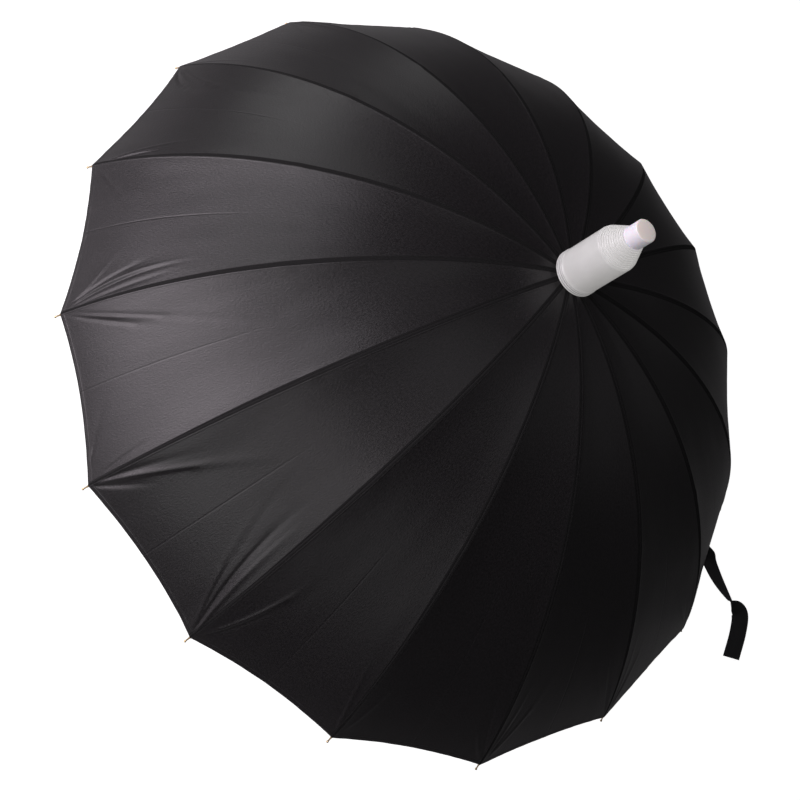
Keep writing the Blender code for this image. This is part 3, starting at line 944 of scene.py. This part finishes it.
class Rig:
    """Bones that carry the cloth with the ribs. Each rib has one that turns with it and one that turns less."""

    LAG = 0.80
    PIVOT_ARC = 0.320
    END_SHARE = 0.287
    PLEAT = 0.011
    WAIST = 0.005
    WAIST_ARC = 0.43
    SWING = math.radians(72.8)

    def __init__(self) -> None:
        """Makes the bones and ties them to the ribs' bodies."""
        data = bpy.data.armatures.new("cloth_bones")
        self.object = bpy.data.objects.new("cloth_bones", data)
        bpy.context.scene.collection.objects.link(self.object)
        bpy.context.view_layer.objects.active = self.object
        bpy.ops.object.mode_set(mode="EDIT")
        for rib in range(DOME.ribs):
            for kind in ("root", "tip"):
                bone = data.edit_bones.new(self.bone(rib, kind))
                bone.head = DOME.outward(rib) * DOME.hinge_radius + UP * DOME.hinge_height
                bone.tail = bone.head + DOME.outward(rib) * 0.1
        bpy.ops.object.mode_set(mode="OBJECT")
        for rib in range(DOME.ribs):
            for kind, influence in (("root", 1.0), ("tip", self.LAG)):
                tie = self.object.pose.bones[self.bone(rib, kind)].constraints.new("CHILD_OF")
                tie.target = frame["bodies"][f"rib_{rib + 1:02d}"]
                tie.inverse_matrix = Matrix.Identity(4)
                tie.influence = influence

    @staticmethod
    def bone(rib: int, kind: str) -> str:
        """A bone's name.

        Args:
            rib: The rib's number from 0.
            kind: root or tip.

        Returns:
            The name.
        """
        return f"rib_{rib % DOME.ribs + 1:02d}_{kind}"

    @classmethod
    def lag_at(cls, arc: float) -> float:
        """How much a rib's place follows the tip's bone.

        Args:
            arc: Length along the rib.

        Returns:
            A share from 0 to 1.
        """
        start, tip = (Vector(DOME.rib_at(place)) for place in (cls.PIVOT_ARC, DOME.length))
        reach = tip - start
        along = (Vector(DOME.rib_at(arc)) - start).dot(reach) / reach.length_squared
        return eased(max(along, 0.0) * cls.END_SHARE) / (1.0 - cls.LAG)

    @classmethod
    def pleat_at(cls, share: float, arc: float) -> float:
        """How much more the cloth between two ribs follows the tips' bones, so that it stands out in a pleat.

        Args:
            share: Place across the gore.
            arc: Length along it.

        Returns:
            A share from 0 to 1.
        """
        bow = 4.0 * share * (1.0 - share)
        reach = max(arc, 0.03) * math.sin(cls.SWING * (1.0 - cls.LAG))
        depth = cls.PLEAT * (1.0 + 1.1 * bell((arc - cls.WAIST_ARC) / 0.09))
        waist = cls.WAIST * bell((arc - cls.WAIST_ARC) / 0.10)
        return min((depth * bow * eased((arc - 0.015) / 0.10) + waist) / reach, 1.0)

    def carry(self, piece: bpy.types.Object, places: Iterable[tuple[int, int, float, float]]) -> None:
        """Ties a piece's corners to the bones.

        Args:
            piece: The piece, with its mesh final.
            places: For each corner its index, gore, share across it and arc along it.
        """
        groups = {}
        for index, gore, share, arc in places:
            lag = self.lag_at(arc)
            lag += (1.0 - lag) * self.pleat_at(share, arc)
            for rib, part in ((gore, 1.0 - share), (gore + 1, share)):
                for kind, weight in (("root", part * (1.0 - lag)), ("tip", part * lag)):
                    if weight > 1e-5:
                        name = self.bone(rib, kind)
                        group = groups.get(name) or piece.vertex_groups.new(name=name)
                        groups[name] = group
                        group.add([index], weight, "REPLACE")
        modifier = piece.modifiers.new("bones", "ARMATURE")
        modifier.object = self.object
        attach(piece, "umbrella")


@dataclass(frozen=True)
class Fold:
    """One soft fold that runs into the cloth from a rib's tip.

    Lengths are in millimetres and angles in degrees off the rib.
    """

    near: float
    far: float
    start: float
    reach: float
    height: float
    width: float

    def rise(self, x: float, y: float) -> float:
        """Height of the cloth on this fold.

        Args:
            x: Distance from the rib, in metres.
            y: Distance from the hem, in metres.

        Returns:
            The height in metres.
        """
        distance = math.hypot(x, y) * 1000.0
        if distance > self.reach * 1.4 or distance < 1.0:
            return 0.0
        share = (distance - self.start) / (self.reach - self.start)
        angle = math.radians(self.near + (self.far - self.near) * share)
        off = distance * (math.atan2(x, max(y, 0.0)) - angle)
        width = self.width * (0.55 + 0.6 * max(share, 0.0)) * (0.6 if off > 0.0 else 1.25)
        if abs(off) > width * 3.0:
            return 0.0
        begin = eased((distance - self.start * 0.4) / (self.start * 0.8 + 6.0))
        length = begin * (1.0 - eased((share - 0.25) / 1.1))
        return self.height * 0.001 * length * bell(off / width)


# The folds that show at the tips, by the rib's number from 1. The first list runs into the rib's own gore and the
# second into the gore before it.
TIP_FOLDS = {
    3: (
        (Fold(36, 13.8, 12, 173, 1.0, 3.5), Fold(70, 33, 20, 95, -1.1, 3.5), Fold(55, 40, 14, 60, 0.8, 2.5)),
        (Fold(20, 14, 20, 90, 0.6, 3.0),),
    ),
    4: (
        (Fold(42.4, 44.3, 18, 92, -0.6, 2.0),),
        (Fold(9.6, 8.9, 34, 99, 1.5, 2.0), Fold(5, 7, 20, 107, -0.8, 2.5), Fold(14, 13, 50, 130, 0.7, 2.5)),
    ),
    5: (
        (
            Fold(15.5, 13.8, 24, 225, -0.8, 2.4),
            Fold(24, 19.6, 22, 127, -1.4, 2.8),
            Fold(19.5, 16.5, 22, 110, 0.9, 2.4),
        ),
        (
            Fold(22, 13, 16, 123, 1.4, 2.6),
            Fold(17.5, 9.5, 20, 147, -1.5, 2.6),
            Fold(28, 19, 16, 110, -1.3, 2.6),
            Fold(34, 42.5, 24, 80, 0.9, 2.4),
            Fold(6.5, 6.0, 24, 136, -1.0, 2.6),
        ),
    ),
    6: (
        (Fold(13, 16.8, 14, 176, 2.1, 4.0), Fold(27, 24, 8, 66, -1.8, 4.4), Fold(6, 9, 16, 120, -1.0, 3.6)),
        (Fold(14.5, 10.2, 24, 80, -0.7, 2.2), Fold(78, 66, 20, 90, -0.5, 2.2)),
    ),
    7: (
        (Fold(24, 16.2, 24, 137, 1.8, 2.2), Fold(31, 23, 18, 90, -0.9, 3.2)),
        (
            Fold(20, 11, 12, 172, -1.7, 3.2),
            Fold(13, 7, 12, 150, 1.6, 3.4),
            Fold(26, 18, 24, 200, -0.8, 2.2),
            Fold(31, 22, 24, 150, 0.7, 2.6),
        ),
    ),
    8: ((Fold(20, 14, 20, 90, 0.6, 2.6),), (Fold(14, 12, 16, 100, 0.8, 2.6),)),
}


@dataclass
class Canopy:
    """Sixteen gores of cloth, sewn along the ribs.

    The rows' places along a gore are lengths from the crown's wire, closer together near the hem. The columns'
    places across it are shares from 0 to 1, closer together near the seams and at the middle crease.
    """

    maker: Maker
    rig: Rig
    thickness: float = 0.0006
    hem: float = 0.0068
    folds_end: float = 0.26
    seed: int = 1
    tie_arc: float = 0.324
    rows: tuple[tuple[float, float, int], ...] = ((0.004, 0.40, 50), (0.40, DOME.length - 0.010, 58))
    hem_rows: tuple[float, ...] = (0.010, 0.0080, 0.0070, 0.0064, 0.0040, 0.0020, 0.0)
    seam_columns: tuple[float, ...] = (0.0, 0.004, 0.008, 0.013)
    columns: tuple[tuple[float, float, int], ...] = ((0.019, 0.205, 24), (0.205, 0.485, 11))
    crease_columns: tuple[float, ...] = (0.485, 0.493, 0.5)

    def __post_init__(self) -> None:
        """Places the rows and columns."""
        self.arcs = self._even(self.rows) + [DOME.length - place for place in self.hem_rows]
        half = [*self.seam_columns, *self._even(self.columns), *self.crease_columns]
        self.shares = half + [1.0 - share for share in reversed(half[:-1])]

    @staticmethod
    def _even(spans: Sequence[tuple[float, float, int]]) -> list[float]:
        """Even places in spans.

        Args:
            spans: Each span's first place, its end, which isn't a place, and its number of places.

        Returns:
            The places.
        """
        return [start + (end - start) * i / count for start, end, count in spans for i in range(count)]

    def folds(self, rib: int, side: int) -> Sequence[Fold]:
        """The folds at one side of a rib's tip.

        Args:
            rib: The rib's number from 0.
            side: 0 into the rib's own gore, 1 into the one before.

        Returns:
            The folds.
        """
        rib %= DOME.ribs
        if rib + 1 in TIP_FOLDS:
            return TIP_FOLDS[rib + 1][side]
        made = []
        for number in range(3):
            x, y, z = noise.noise_vector(Vector((rib * 3.17 + side * 1.9, number * 5.3, 0.7)))
            near = 10 + 11 * number + 8 * x
            made.append(Fold(near, near * 0.75, 16, 95 + 60 * y, (0.9 + 0.5 * z) * (-1) ** number, 2.8 + x))
        return made

    def relief(self, gore: int, share: float, arc: float, folds: Sequence[Sequence[Fold]]) -> float:
        """How far the cloth stands out of its stretched shape.

        Args:
            gore: The gore's number from 0.
            share: Place across it.
            arc: Length along it.
            folds: The folds of its two corners.

        Returns:
            The height in metres.
        """
        width = DOME.width_at(arc)
        seam = min(share, 1.0 - share) * width
        across = (share - 0.5) * width
        hem = DOME.length - arc
        height = 0.0
        if hem < self.folds_end:
            for near, corner in ((share, folds[0]), (1.0 - share, folds[1])):
                height += sum(fold.rise(near * width, hem) for fold in corner)
        slack = noise.noise(Vector((gore * 2.3 + across * 12, arc * 7, gore * 1.7)))
        ripple = noise.noise(Vector((gore * 4.1 + across * 45, arc * 12, gore * 3.3)))
        pucker = noise.noise(Vector((share * width * 90 + gore * 7, hem * 20, 2.2)))
        height += 0.0009 * slack * eased(seam / 0.03)
        height += 0.00022 * ripple * eased(seam / 0.015)
        height += 0.0003 * pucker * (1.0 - eased(hem / 0.03)) * eased(seam / 0.01)
        if hem <= self.hem:
            height += 0.0001
        height *= eased(seam / 0.004) * eased(arc / 0.04)
        return height + 0.0008 * bell((arc - self.tie_arc) / 0.006) * bell(seam / 0.007)

    def gore(self, number: int) -> bpy.types.Object:
        """Makes one gore.

        Args:
            number: Its number from 0.

        Returns:
            The gore's piece.
        """
        folds = (self.folds(number, 0), self.folds(number + 1, 1))
        net = Sheet(len(self.shares) - 1, len(self.arcs) - 1)

        def point(column: int, row: int) -> Vector:
            """Place of a corner of the gore."""
            share, arc = self.shares[column], self.arcs[row]
            return DOME.on_gore(number, share, arc, self.relief(number, share, arc, folds))

        def flat(column: int, row: int) -> tuple[float, float]:
            """Flat coordinates of a corner, apart from the other gores' ones."""
            arc = self.arcs[row]
            return (self.shares[column] - 0.5) * DOME.width_at(arc), arc + number * 0.7

        numbers = {
            "before": lambda column, row: self.shares[column] * DOME.width_at(self.arcs[row]),
            "after": lambda column, row: (1.0 - self.shares[column]) * DOME.width_at(self.arcs[row]),
            "hem": lambda column, row: DOME.length - self.arcs[row],
        }
        net.lay(point, flat, numbers)
        net.bm.verts.index_update()
        made = self.maker.piece(f"canopy_gore_{number + 1:02d}", net.bm, [self.maker.finishes.cloth], Slot.CLOTH)
        places = ((share, arc) for arc in self.arcs for share in self.shares)
        self.rig.carry(made, ((index, number, share, arc) for index, (share, arc) in enumerate(places)))
        thick = made.modifiers.new("thickness", "SOLIDIFY")
        thick.thickness = self.thickness
        thick.offset = 1.0
        return made

    def build(self) -> None:
        """Makes all the gores."""
        # Unseeded, noise_vector starts from the clock, and the folds would differ from run to run.
        noise.seed_set(self.seed)
        gores = [self.gore(number) for number in range(DOME.ribs)]
        widest = DOME.width_at(DOME.length)
        for made in gores:
            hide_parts("canopy")
            DOME.gore_area()


@dataclass
class Ribs:
    """Sixteen sprung rods with gilt tips."""

    maker: Maker
    sides: int = 12
    # Each station of a tip: how far it lies past the rod's length, and its radius.
    tip: tuple[tuple[float, float], ...] = (
        (-0.0045, 0.0011),
        (-0.004, 0.0015),
        (0.001, 0.0015),
        (0.003, 0.0010),
        (0.006, 0.0009),
        (0.0085, 0.0009),
        (0.0090, 0.0012),
        (0.0096, 0.0015),
        (0.0102, 0.0015),
        (0.0107, 0.0011),
        (0.011, 0.0004),
    )

    def stations(self, number: int, arcs: Sequence[float]) -> list[tuple[Vector, Vector, Vector]]:
        """Stations along a rib.

        Args:
            number: The rib's number from 0.
            arcs: Lengths along it.

        Returns:
            Middle, sideways and outward direction at each.
        """
        side = UP.cross(DOME.outward(number))
        return [(DOME.on_rib(number, arc), side, DOME.out_of(number, arc)) for arc in arcs]

    def rib(self, number: int) -> None:
        """Makes one rib.

        Args:
            number: Its number from 0.
        """
        arcs = [-0.0014, -0.0010, 0.0, 0.006, 0.010]
        arcs += [0.010 + (DOME.length - 0.014) * i / 60 for i in range(1, 61)]
        bm = self.maker.swept(self.stations(number, arcs), lambda row: self._section(arcs[row]))
        tip = self.stations(number, [DOME.length + past for past, _ in self.tip])
        self.maker.swept(tip, lambda row: disc(self.tip[row][1], self.sides), bm, 1)
        materials = [self.maker.finishes.rod, self.maker.finishes.gilt]
        made = self.maker.piece(f"rib_rod_{number + 1:02d}", bm, materials, Slot.RIB, smooth=False)
        start = DOME.on_rib(number, Rig.PIVOT_ARC)
        end = start + (DOME.on_rib(number, DOME.length) - start) / Rig.END_SHARE
        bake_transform(made, f"rib_{number + 1:02d}", "umbrella", start, end)
        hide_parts(f"rib_{number + 1:02d}")

    def build(self) -> None:
        """Makes all the ribs."""
        for number in range(DOME.ribs):
            self.rib(number)

    def _section(self, arc: float) -> list[tuple[float, float]]:
        """A rib's outline.

        Args:
            arc: Length along it.

        Returns:
            The outline's points.
        """
        if arc < 0:
            return disc(0.0008, self.sides)
        if arc <= 0.006:
            return disc(0.0009, self.sides, 1.4)
        return disc(DOME.rod_radius, self.sides)


@dataclass
class Sleeve:
    """The drip sleeve's cup and its sections, and the cap on the ferrule."""

    maker: Maker
    steps: int = 72
    beads: int = 3
    count: int = 10
    cap_radius: float = 0.0135

    def build(self) -> None:
        """Makes all the pieces."""
        self.cup()
        self.sections()
        self.cap()

    @staticmethod
    def rim(radius: float, base: float, inward: float, rise: float) -> list[tuple[float, float]]:
        """The round edge on top of a wall.

        Args:
            radius: The wall's radius.
            base: Where the edge starts.
            inward: How far it goes in.
            rise: How far it goes up.

        Returns:
            The outline's points over the start.
        """
        turns = [math.pi / 2 * step / 6 for step in range(1, 7)]
        return [(radius - inward * (1 - math.cos(turn)), base + rise * math.sin(turn)) for turn in turns]

    def cup(self) -> None:
        """Makes the outer cup with its beaded edge."""
        base, top = (corner.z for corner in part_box("sleeve_cup"))
        outline = [(0.0268, base + 0.0002), (0.0274, base)]
        for bead in range(self.beads):
            for step in range(9):
                turn = math.pi * step / 8
                height = BEAD_PITCH * bead + BEAD_PITCH / 2 * (1 - math.cos(turn)) + 0.0001
                outline.append((0.0272 + 0.0011 * math.sin(turn), base + height))
        wall = top - 0.0020 - base - BEADS_END
        for step in range(1, 13):
            share = step / 12
            outline.append((0.0276 - 0.0006 * share, base + BEADS_END + wall * share))
        outline += self.rim(0.0270, top - 0.0020, 0.0016, 0.0020)
        outline += [(0.0261, top - 0.0012), (0.0261, base + 0.004)]
        self._placed("drip_cup", outline, "sleeve_cup", "sleeve_cup")

    def sections(self) -> None:
        """Makes the sections that stand out of the cup step by step."""
        for number in range(1, self.count + 1):
            name = f"sleeve_section_{number:02d}"
            low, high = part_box(name)
            radius, top = high.x, high.z
            inner = radius - 0.0013
            outline = [(radius - 0.0007, low.z), (radius, low.z), (radius, top - 0.0018)]
            for step in range(9):
                turn = math.pi * (step / 8 - 0.5)
                outline.append((radius - 0.0003 + 0.0007 * math.cos(turn), top - 0.0007 + 0.0007 * math.sin(turn)))
            outline += [(inner, top - 0.0006), (inner, top - 0.006), (radius - 0.0007, top - 0.008)]
            self._placed(f"drip_section_{number:02d}", outline, name, "umbrella")

    def _placed(self, name: str, outline: Sequence[tuple[float, float]], node: str, body: str) -> None:
        """Makes one turned piece of the sleeve.

        Args:
            name: The piece's name.
            outline: Its outline as radius and height.
            node: The CAD node it stands for.
            body: The body it rides on.
        """
        bm = self.maker.turned(outline, self.steps)
        self.maker.rigid(name, bm, self.maker.finishes.milky, Slot.SLEEVE, node, body)

    def cap(self) -> None:
        """Makes the cap with its bevelled rim."""
        base, top = (corner.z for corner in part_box("ferrule_cap"))
        outline = [(0.0, base + 0.0135), (0.0062, base + 0.0135), (0.0062, base), (self.cap_radius, base)]
        outline += [(self.cap_radius, base + 0.0075), (self.cap_radius, top - 0.0016)]
        outline += self.rim(self.cap_radius, top - 0.0016, 0.0014, 0.0014)
        outline += [(0.0115, top - 0.0001), (0.0110, top), (0.0, top)]
        bm = self.maker.turned(outline, self.steps)
        self.maker.rigid("cap_turned", bm, self.maker.finishes.cap, Slot.CAP, "ferrule_cap")


@dataclass
class Strap:
    """The closing strap of webbing with its half twist, and the hook patch at its end."""

    maker: Maker
    rig: Rig
    gore: int = 10
    share: float = 0.64
    length: float = 0.165
    width: float = 0.0245
    thickness: float = 0.0012
    edge_on: float = 0.49
    steps: int = 66
    course: tuple[tuple[float, float, float], ...] = (
        (0.000, 0.000, 0.000),
        (0.225, -0.171, 0.006),
        (0.433, -0.302, 0.035),
        (0.555, -0.339, 0.035),
        (0.646, -0.465, -0.024),
        (0.727, -0.671, -0.111),
    )

    def __post_init__(self) -> None:
        """Finds the directions that the course is given in."""
        self.outward = DOME.outward(self.gore + 0.5)
        self.sideways = UP.cross(self.outward)

    def stations(self) -> list[tuple[Vector, Vector, Vector]]:
        """Stations along the strap.

        Returns:
            Middle, direction across and face direction at each.
        """
        hem = DOME.on_gore(self.gore, self.share, DOME.length)
        root = hem - self.outward * 0.0052 - UP * 0.0026
        points = [root + (self.outward * x + self.sideways * y + UP * z) * self.length for x, y, z in self.course]
        look = self.outward * -0.245 + self.sideways * -0.524 + UP * 0.816
        made = []
        for number, (centre, ahead) in enumerate(self._course(points)):
            share = number / self.steps
            across = look.cross(ahead).normalized().lerp(self.sideways, 1.0 - eased(share / 0.16))
            across = (across - ahead * across.dot(ahead)).normalized()
            across = Matrix.Rotation(self.twist(share), 3, ahead) @ across
            made.append((centre, across, ahead.cross(across).normalized()))
        return made

    def twist(self, share: float) -> float:
        """The half twist: slow up to the edge-on place and quick after it.

        Args:
            share: Place along the strap, from 0 to 1.

        Returns:
            The turn in radians.
        """
        if share < self.edge_on:
            return 0.5 * math.pi * (0.55 * eased(share / 0.12) + 0.45 * (share / self.edge_on) ** 2.0) * 0.999
        return 0.5 * math.pi * (2.0 - (1.0 - min((share - self.edge_on) / 0.15, 1.0)) ** 2.0)

    def _course(self, points: Sequence[Vector]) -> list[tuple[Vector, Vector]]:
        """Even steps along a smooth curve.

        Args:
            points: The points that it goes through.

        Returns:
            Place and direction at each step.
        """
        ends = [points[0] * 2 - points[1], *points, points[-1] * 2 - points[-2]]
        fine = []
        for a, b, c, d in zip(ends, ends[1:], ends[2:], ends[3:]):
            for i in range(self.steps):
                t = i / self.steps
                square, cube = (a * 2 - b * 5 + c * 4 - d) * t * t, (b * 3 - a - c * 3 + d) * t * t * t
                fine.append((b * 2 + (c - a) * t + square + cube) / 2)
        fine.append(points[-1])
        lengths = running(fine)
        course, low = [], 0
        for number in range(self.steps + 1):
            want = lengths[-1] * number / self.steps
            while low < len(fine) - 2 and lengths[low + 1] <= want:
                low += 1
            share = min((want - lengths[low]) / (lengths[low + 1] - lengths[low]), 1.0)
            course.append((fine[low].lerp(fine[low + 1], share), (fine[low + 1] - fine[low]).normalized()))
        return course

    def _piece(
        self,
        name: str,
        stations: Sequence[tuple[Vector, Vector, Vector]],
        outline: Sequence[tuple[float, float]],
        node: str,
    ) -> bpy.types.Object:
        """Makes a length of webbing that hangs from the hem.

        Args:
            name: The piece's name.
            stations: Its stations.
            outline: Its outline.
            node: The CAD node it stands for.

        Returns:
            The piece.
        """
        bm = self.maker.swept(stations, lambda row: outline)
        made = self.maker.piece(name, bm, [self.maker.finishes.webbing], Slot.WEBBING)
        corners = range(len(made.data.vertices))
        self.rig.carry(made, ((index, self.gore, self.share, DOME.length) for index in corners))
        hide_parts(node)
        return made

    def build(self) -> None:
        """Makes the strap and its patch."""
        stations = self.stations()
        ends = [(centre + face * 0.0013, across, face) for centre, across, face in stations[-11:-2]]
        strap = self._piece("strap_band", stations, rounded(self.width, self.thickness, 0.0005), "strap")
        patch = self._piece("strap_hook_patch", ends, rounded(self.width - 0.0044, 0.0008, 0.0003), "strap_patch")
        length = running([centre for centre, _, _ in stations])[-1]


@dataclass
class Handle:
    """The grip with its hook, and the collar."""

    maker: Maker
    bottom: float = -0.045
    top: float = 0.045
    radius: float = 0.0115
    hook: float = 0.029
    tail: float = 0.016
    edge: float = 0.0018
    collar_edges: float = 28.0

    def build(self) -> None:
        """Makes both pieces."""
        self.grip()
        self.collar()

    def grip(self) -> None:
        """Makes the swept grip and hook."""
        course = [Vector((0.0, 0.0, self.top - (self.top - self.bottom) * i / 12)) for i in range(13)]
        for number in range(1, 33):
            turn = math.pi * number / 32
            out, down = self.hook * (1 - math.cos(turn)), self.hook * math.sin(turn)
            course.append(Vector((out, 0.0, self.bottom - down)))
        course.append(Vector((2 * self.hook, 0.0, self.bottom + self.tail)))
        side = Vector((0.0, 1.0, 0.0))
        stations = []
        for before, place, after in zip((course[0], *course), course, (*course[1:], course[-1])):
            stations.append((place, side, side.cross((after - before).normalized())))
        stations, sizes = self._ended(stations)
        bm = self.maker.swept(stations, lambda row: disc(sizes[row], 40))
        self.maker.rigid("grip_hook", bm, self.maker.finishes.grip, Slot.GRIP, "handle")

    def _ended(
        self, stations: list[tuple[Vector, Vector, Vector]]
    ) -> tuple[list[tuple[Vector, Vector, Vector]], list[float]]:
        """Rounds both ends of the grip, and draws the tail's end in twice as far as the top's.

        Args:
            stations: The grip's stations.

        Returns:
            The longer list, and the radius at each.
        """
        sizes = [self.radius] * len(stations)
        for _ in range(2):
            stations.reverse()
            sizes.reverse()
            centre, side, up = stations[-1]
            ahead = (centre - stations[-2][0]).normalized()
            stations[-1] = (centre - ahead * self.edge, side, up)
            for step in range(1, 6):
                turn = math.pi / 2 * step / 5
                stations.append((centre - ahead * self.edge * (1 - math.sin(turn)), side, up))
                sizes.append(sizes[0] - self.edge * (1 - math.cos(turn)))
        return stations, sizes

    def collar(self) -> None:
        """Makes the bright collar over the grip."""
        low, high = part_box("handle_collar")
        outline = [(0.0062, low.z), (0.0094, low.z), (0.0100, low.z + 0.0006), (0.0100, low.z + 0.0030)]
        outline += [(0.0096, low.z + 0.0034), (0.0096, low.z + 0.0040), (0.0100, low.z + 0.0044)]
        outline += [(0.0100, high.z - 0.0012), (0.0096, high.z - 0.0004), (0.0088, high.z), (0.0062, high.z)]
        bm = self.maker.turned(outline, 64)
        made = self.maker.rigid("collar_turned", bm, self.maker.finishes.chrome, Slot.COLLAR, "handle_collar")
        made.data.set_sharp_from_angle(angle=math.radians(self.collar_edges))


@dataclass
class Hardware:
    """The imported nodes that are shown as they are, smooth between their edges and with their finish."""

    finishes: Finishes
    edges: float = 30.0

    def build(self) -> None:
        """Gives every node that nothing stands for its finish."""
        for name, node in frame["nodes"].items():
            if node.hide_render:
                continue
            material, slot = self._finish(name)
            node.data.materials.clear()
            node.data.materials.append(material)
            LOG.info("dressed %s, %d faces", name, len(node.data.polygons))
            for face in node.data.polygons:
                face.use_smooth = True
            node.data.set_sharp_from_angle(angle=math.radians(self.edges))

    def _finish(self, name: str) -> tuple[bpy.types.Material, Slot]:
        """The finish of a node.

        Args:
            name: The node's name.

        Returns:
            Its material and slot.
        """
        if name == "shaft":
            return self.finishes.chrome, Slot.SHAFT
        if name.startswith("stretcher"):
            return self.finishes.steel, Slot.STRETCHER
        if name in ("open_catch_spring", "closed_catch_spring", "crown_wire", "crown_pin"):
            return self.finishes.spring, Slot.SPRING
        return self.finishes.moulding, Slot.HUB


@dataclass(frozen=True)
class Lamp:
    """One soft lamp, aimed at the canopy."""

    name: str
    azimuth: float
    elevation: float
    distance: float
    width: float
    height: float
    power: float
    colour: tuple[float, float, float] = (1.0, 1.0, 1.0)

    def build(self, target: Vector) -> None:
        """Makes the lamp.

        Args:
            target: The point it faces.
        """
        data = bpy.data.lights.new(self.name, "AREA")
        data.shape = "RECTANGLE"
        data.size, data.size_y = self.width, self.height
        data.energy = self.power
        data.color = self.colour
        lamp = bpy.data.objects.new(self.name, data)
        azimuth, elevation = math.radians(self.azimuth), math.radians(self.elevation)
        level = math.cos(elevation)
        away = Vector((math.cos(azimuth) * level, math.sin(azimuth) * level, math.sin(elevation)))
        lamp.location = target + away * self.distance
        lamp.rotation_euler = away.to_track_quat("Z", "Y").to_euler()
        bpy.context.scene.collection.objects.link(lamp)


class Studio:
    """White floor and world, soft lamps and the photo's camera."""

    LAMPS = (
        Lamp("key", 70.0, 13.0, 2.6, 1.2, 1.6, 31.0, (1.0, 0.91, 0.98)),
        Lamp("key_left", 90.0, 11.0, 2.6, 1.2, 1.6, 14.0, (1.0, 0.91, 0.98)),
        Lamp("key_high", 60.0, 40.0, 2.6, 1.2, 1.0, 11.5, (1.0, 0.94, 1.0)),
        Lamp("left", 115.0, 14.0, 2.6, 1.2, 1.0, 6.2),
        Lamp("left_high", 110.0, 40.0, 2.6, 1.2, 1.0, 6.4, (1.0, 0.95, 0.97)),
        Lamp("near", 150.0, 30.0, 2.6, 1.4, 1.4, 3.3),
        Lamp("side", 30.0, 14.0, 2.6, 1.2, 1.0, 6.4),
        Lamp("far_side", 5.0, 14.0, 2.6, 1.2, 1.0, 2.6),
        Lamp("top", 122.0, 85.0, 2.6, 1.6, 1.6, 2.9),
        Lamp("back", 260.0, 45.0, 2.6, 1.6, 1.6, 1.0),
    )
    AIM = Vector((0.0, 0.0, 0.62))
    FLOOR_GLOW = 0.92
    WORLD_LIGHT = 0.036
    # The fitted camera: its lens in millimetres, its place, and the picture's right and up directions.
    LENS = 48.1385
    PLACE = Vector((-0.46842, 0.75945, 1.60527))
    RIGHT = Vector((-0.080046, -0.865485, 0.494499))
    TOP = Vector((0.954275, 0.076805, 0.288896))

    def build(self) -> None:
        """Makes the whole studio."""
        self._floor()
        self._world()
        for lamp in self.LAMPS:
            lamp.build(self.AIM)
        self._camera()
        settings = bpy.context.scene.view_settings
        settings.view_transform = "Standard"
        settings.look = "None"

    @staticmethod
    def _seen(
        tree: bpy.types.NodeTree, plain: bpy.types.NodeSocket, seen: bpy.types.NodeSocket, out: bpy.types.NodeSocket
    ) -> None:
        """Shows the camera another shader than it shows to the light.

        Args:
            tree: The node tree.
            plain: The shader for the light.
            seen: The shader for the camera.
            out: The input that the result goes to.
        """
        path = tree.nodes.new("ShaderNodeLightPath")
        mix = tree.nodes.new("ShaderNodeMixShader")
        tree.links.new(path.outputs["Is Camera Ray"], mix.inputs["Fac"])
        tree.links.new(plain, mix.inputs[1])
        tree.links.new(seen, mix.inputs[2])
        tree.links.new(mix.outputs[0], out)

    def _floor(self) -> None:
        """Makes a pale floor at the umbrella's lowest point, which the camera sees nearly white."""
        bm = bmesh.new()
        bmesh.ops.create_grid(bm, x_segments=1, y_segments=1, size=9.0)
        mesh = bpy.data.meshes.new("floor")
        bm.to_mesh(mesh)
        bm.free()
        floor = bpy.data.objects.new("floor", mesh)
        floor.location.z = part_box("handle")[0].z
        bpy.context.scene.collection.objects.link(floor)
        made = Finish("floor_pale", (0.55, 0.55, 0.55), 0.9)
        nodes, plain = made.tree.nodes, made.shader.outputs[0]
        glow = nodes.new("ShaderNodeEmission")
        glow.inputs["Color"].default_value = (1.0, 1.0, 1.0, 1.0)
        glow.inputs["Strength"].default_value = self.FLOOR_GLOW
        add = nodes.new("ShaderNodeAddShader")
        made.tree.links.new(plain, add.inputs[0])
        made.tree.links.new(glow.outputs[0], add.inputs[1])
        self._seen(made.tree, plain, add.outputs[0], nodes["Material Output"].inputs["Surface"])
        mesh.materials.append(made.material)

    def _world(self) -> None:
        """Makes a world that is white to the camera and dim as a lamp."""
        world = bpy.data.worlds.new("studio")
        bpy.context.scene.world = world
        world.use_nodes = True
        tree = world.node_tree
        plain, seen = tree.nodes["Background"], tree.nodes.new("ShaderNodeBackground")
        for node, strength in ((plain, self.WORLD_LIGHT), (seen, 1.0)):
            node.inputs["Color"].default_value = (1.0, 1.0, 1.0, 1.0)
            node.inputs["Strength"].default_value = strength
        self._seen(tree, plain.outputs[0], seen.outputs[0], tree.nodes["World Output"].inputs["Surface"])

    def _camera(self) -> None:
        """Makes the camera that was fitted to the photo."""
        data = bpy.data.cameras.new("photo")
        data.lens = self.LENS
        data.sensor_width = 36.0
        data.clip_start, data.clip_end = 0.05, 50.0
        camera = bpy.data.objects.new("photo", data)
        turn = Matrix((self.RIGHT, self.TOP, self.RIGHT.cross(self.TOP))).transposed().to_4x4()
        camera.matrix_world = Matrix.Translation(self.PLACE) @ turn
        bpy.context.scene.collection.objects.link(camera)
        bpy.context.scene.camera = camera


def main() -> None:
    """Builds the scene."""
    logging.basicConfig(level=logging.INFO)
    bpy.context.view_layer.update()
    finishes = Finishes()
    maker = Maker(finishes)
    rig = Rig()
    Canopy(maker, rig).build()
    Ribs(maker).build()
    Sleeve(maker).build()
    Strap(maker, rig).build()
    Handle(maker).build()
    Hardware(finishes).build()
    Studio().build()


if __name__ == "__main__":
    main()
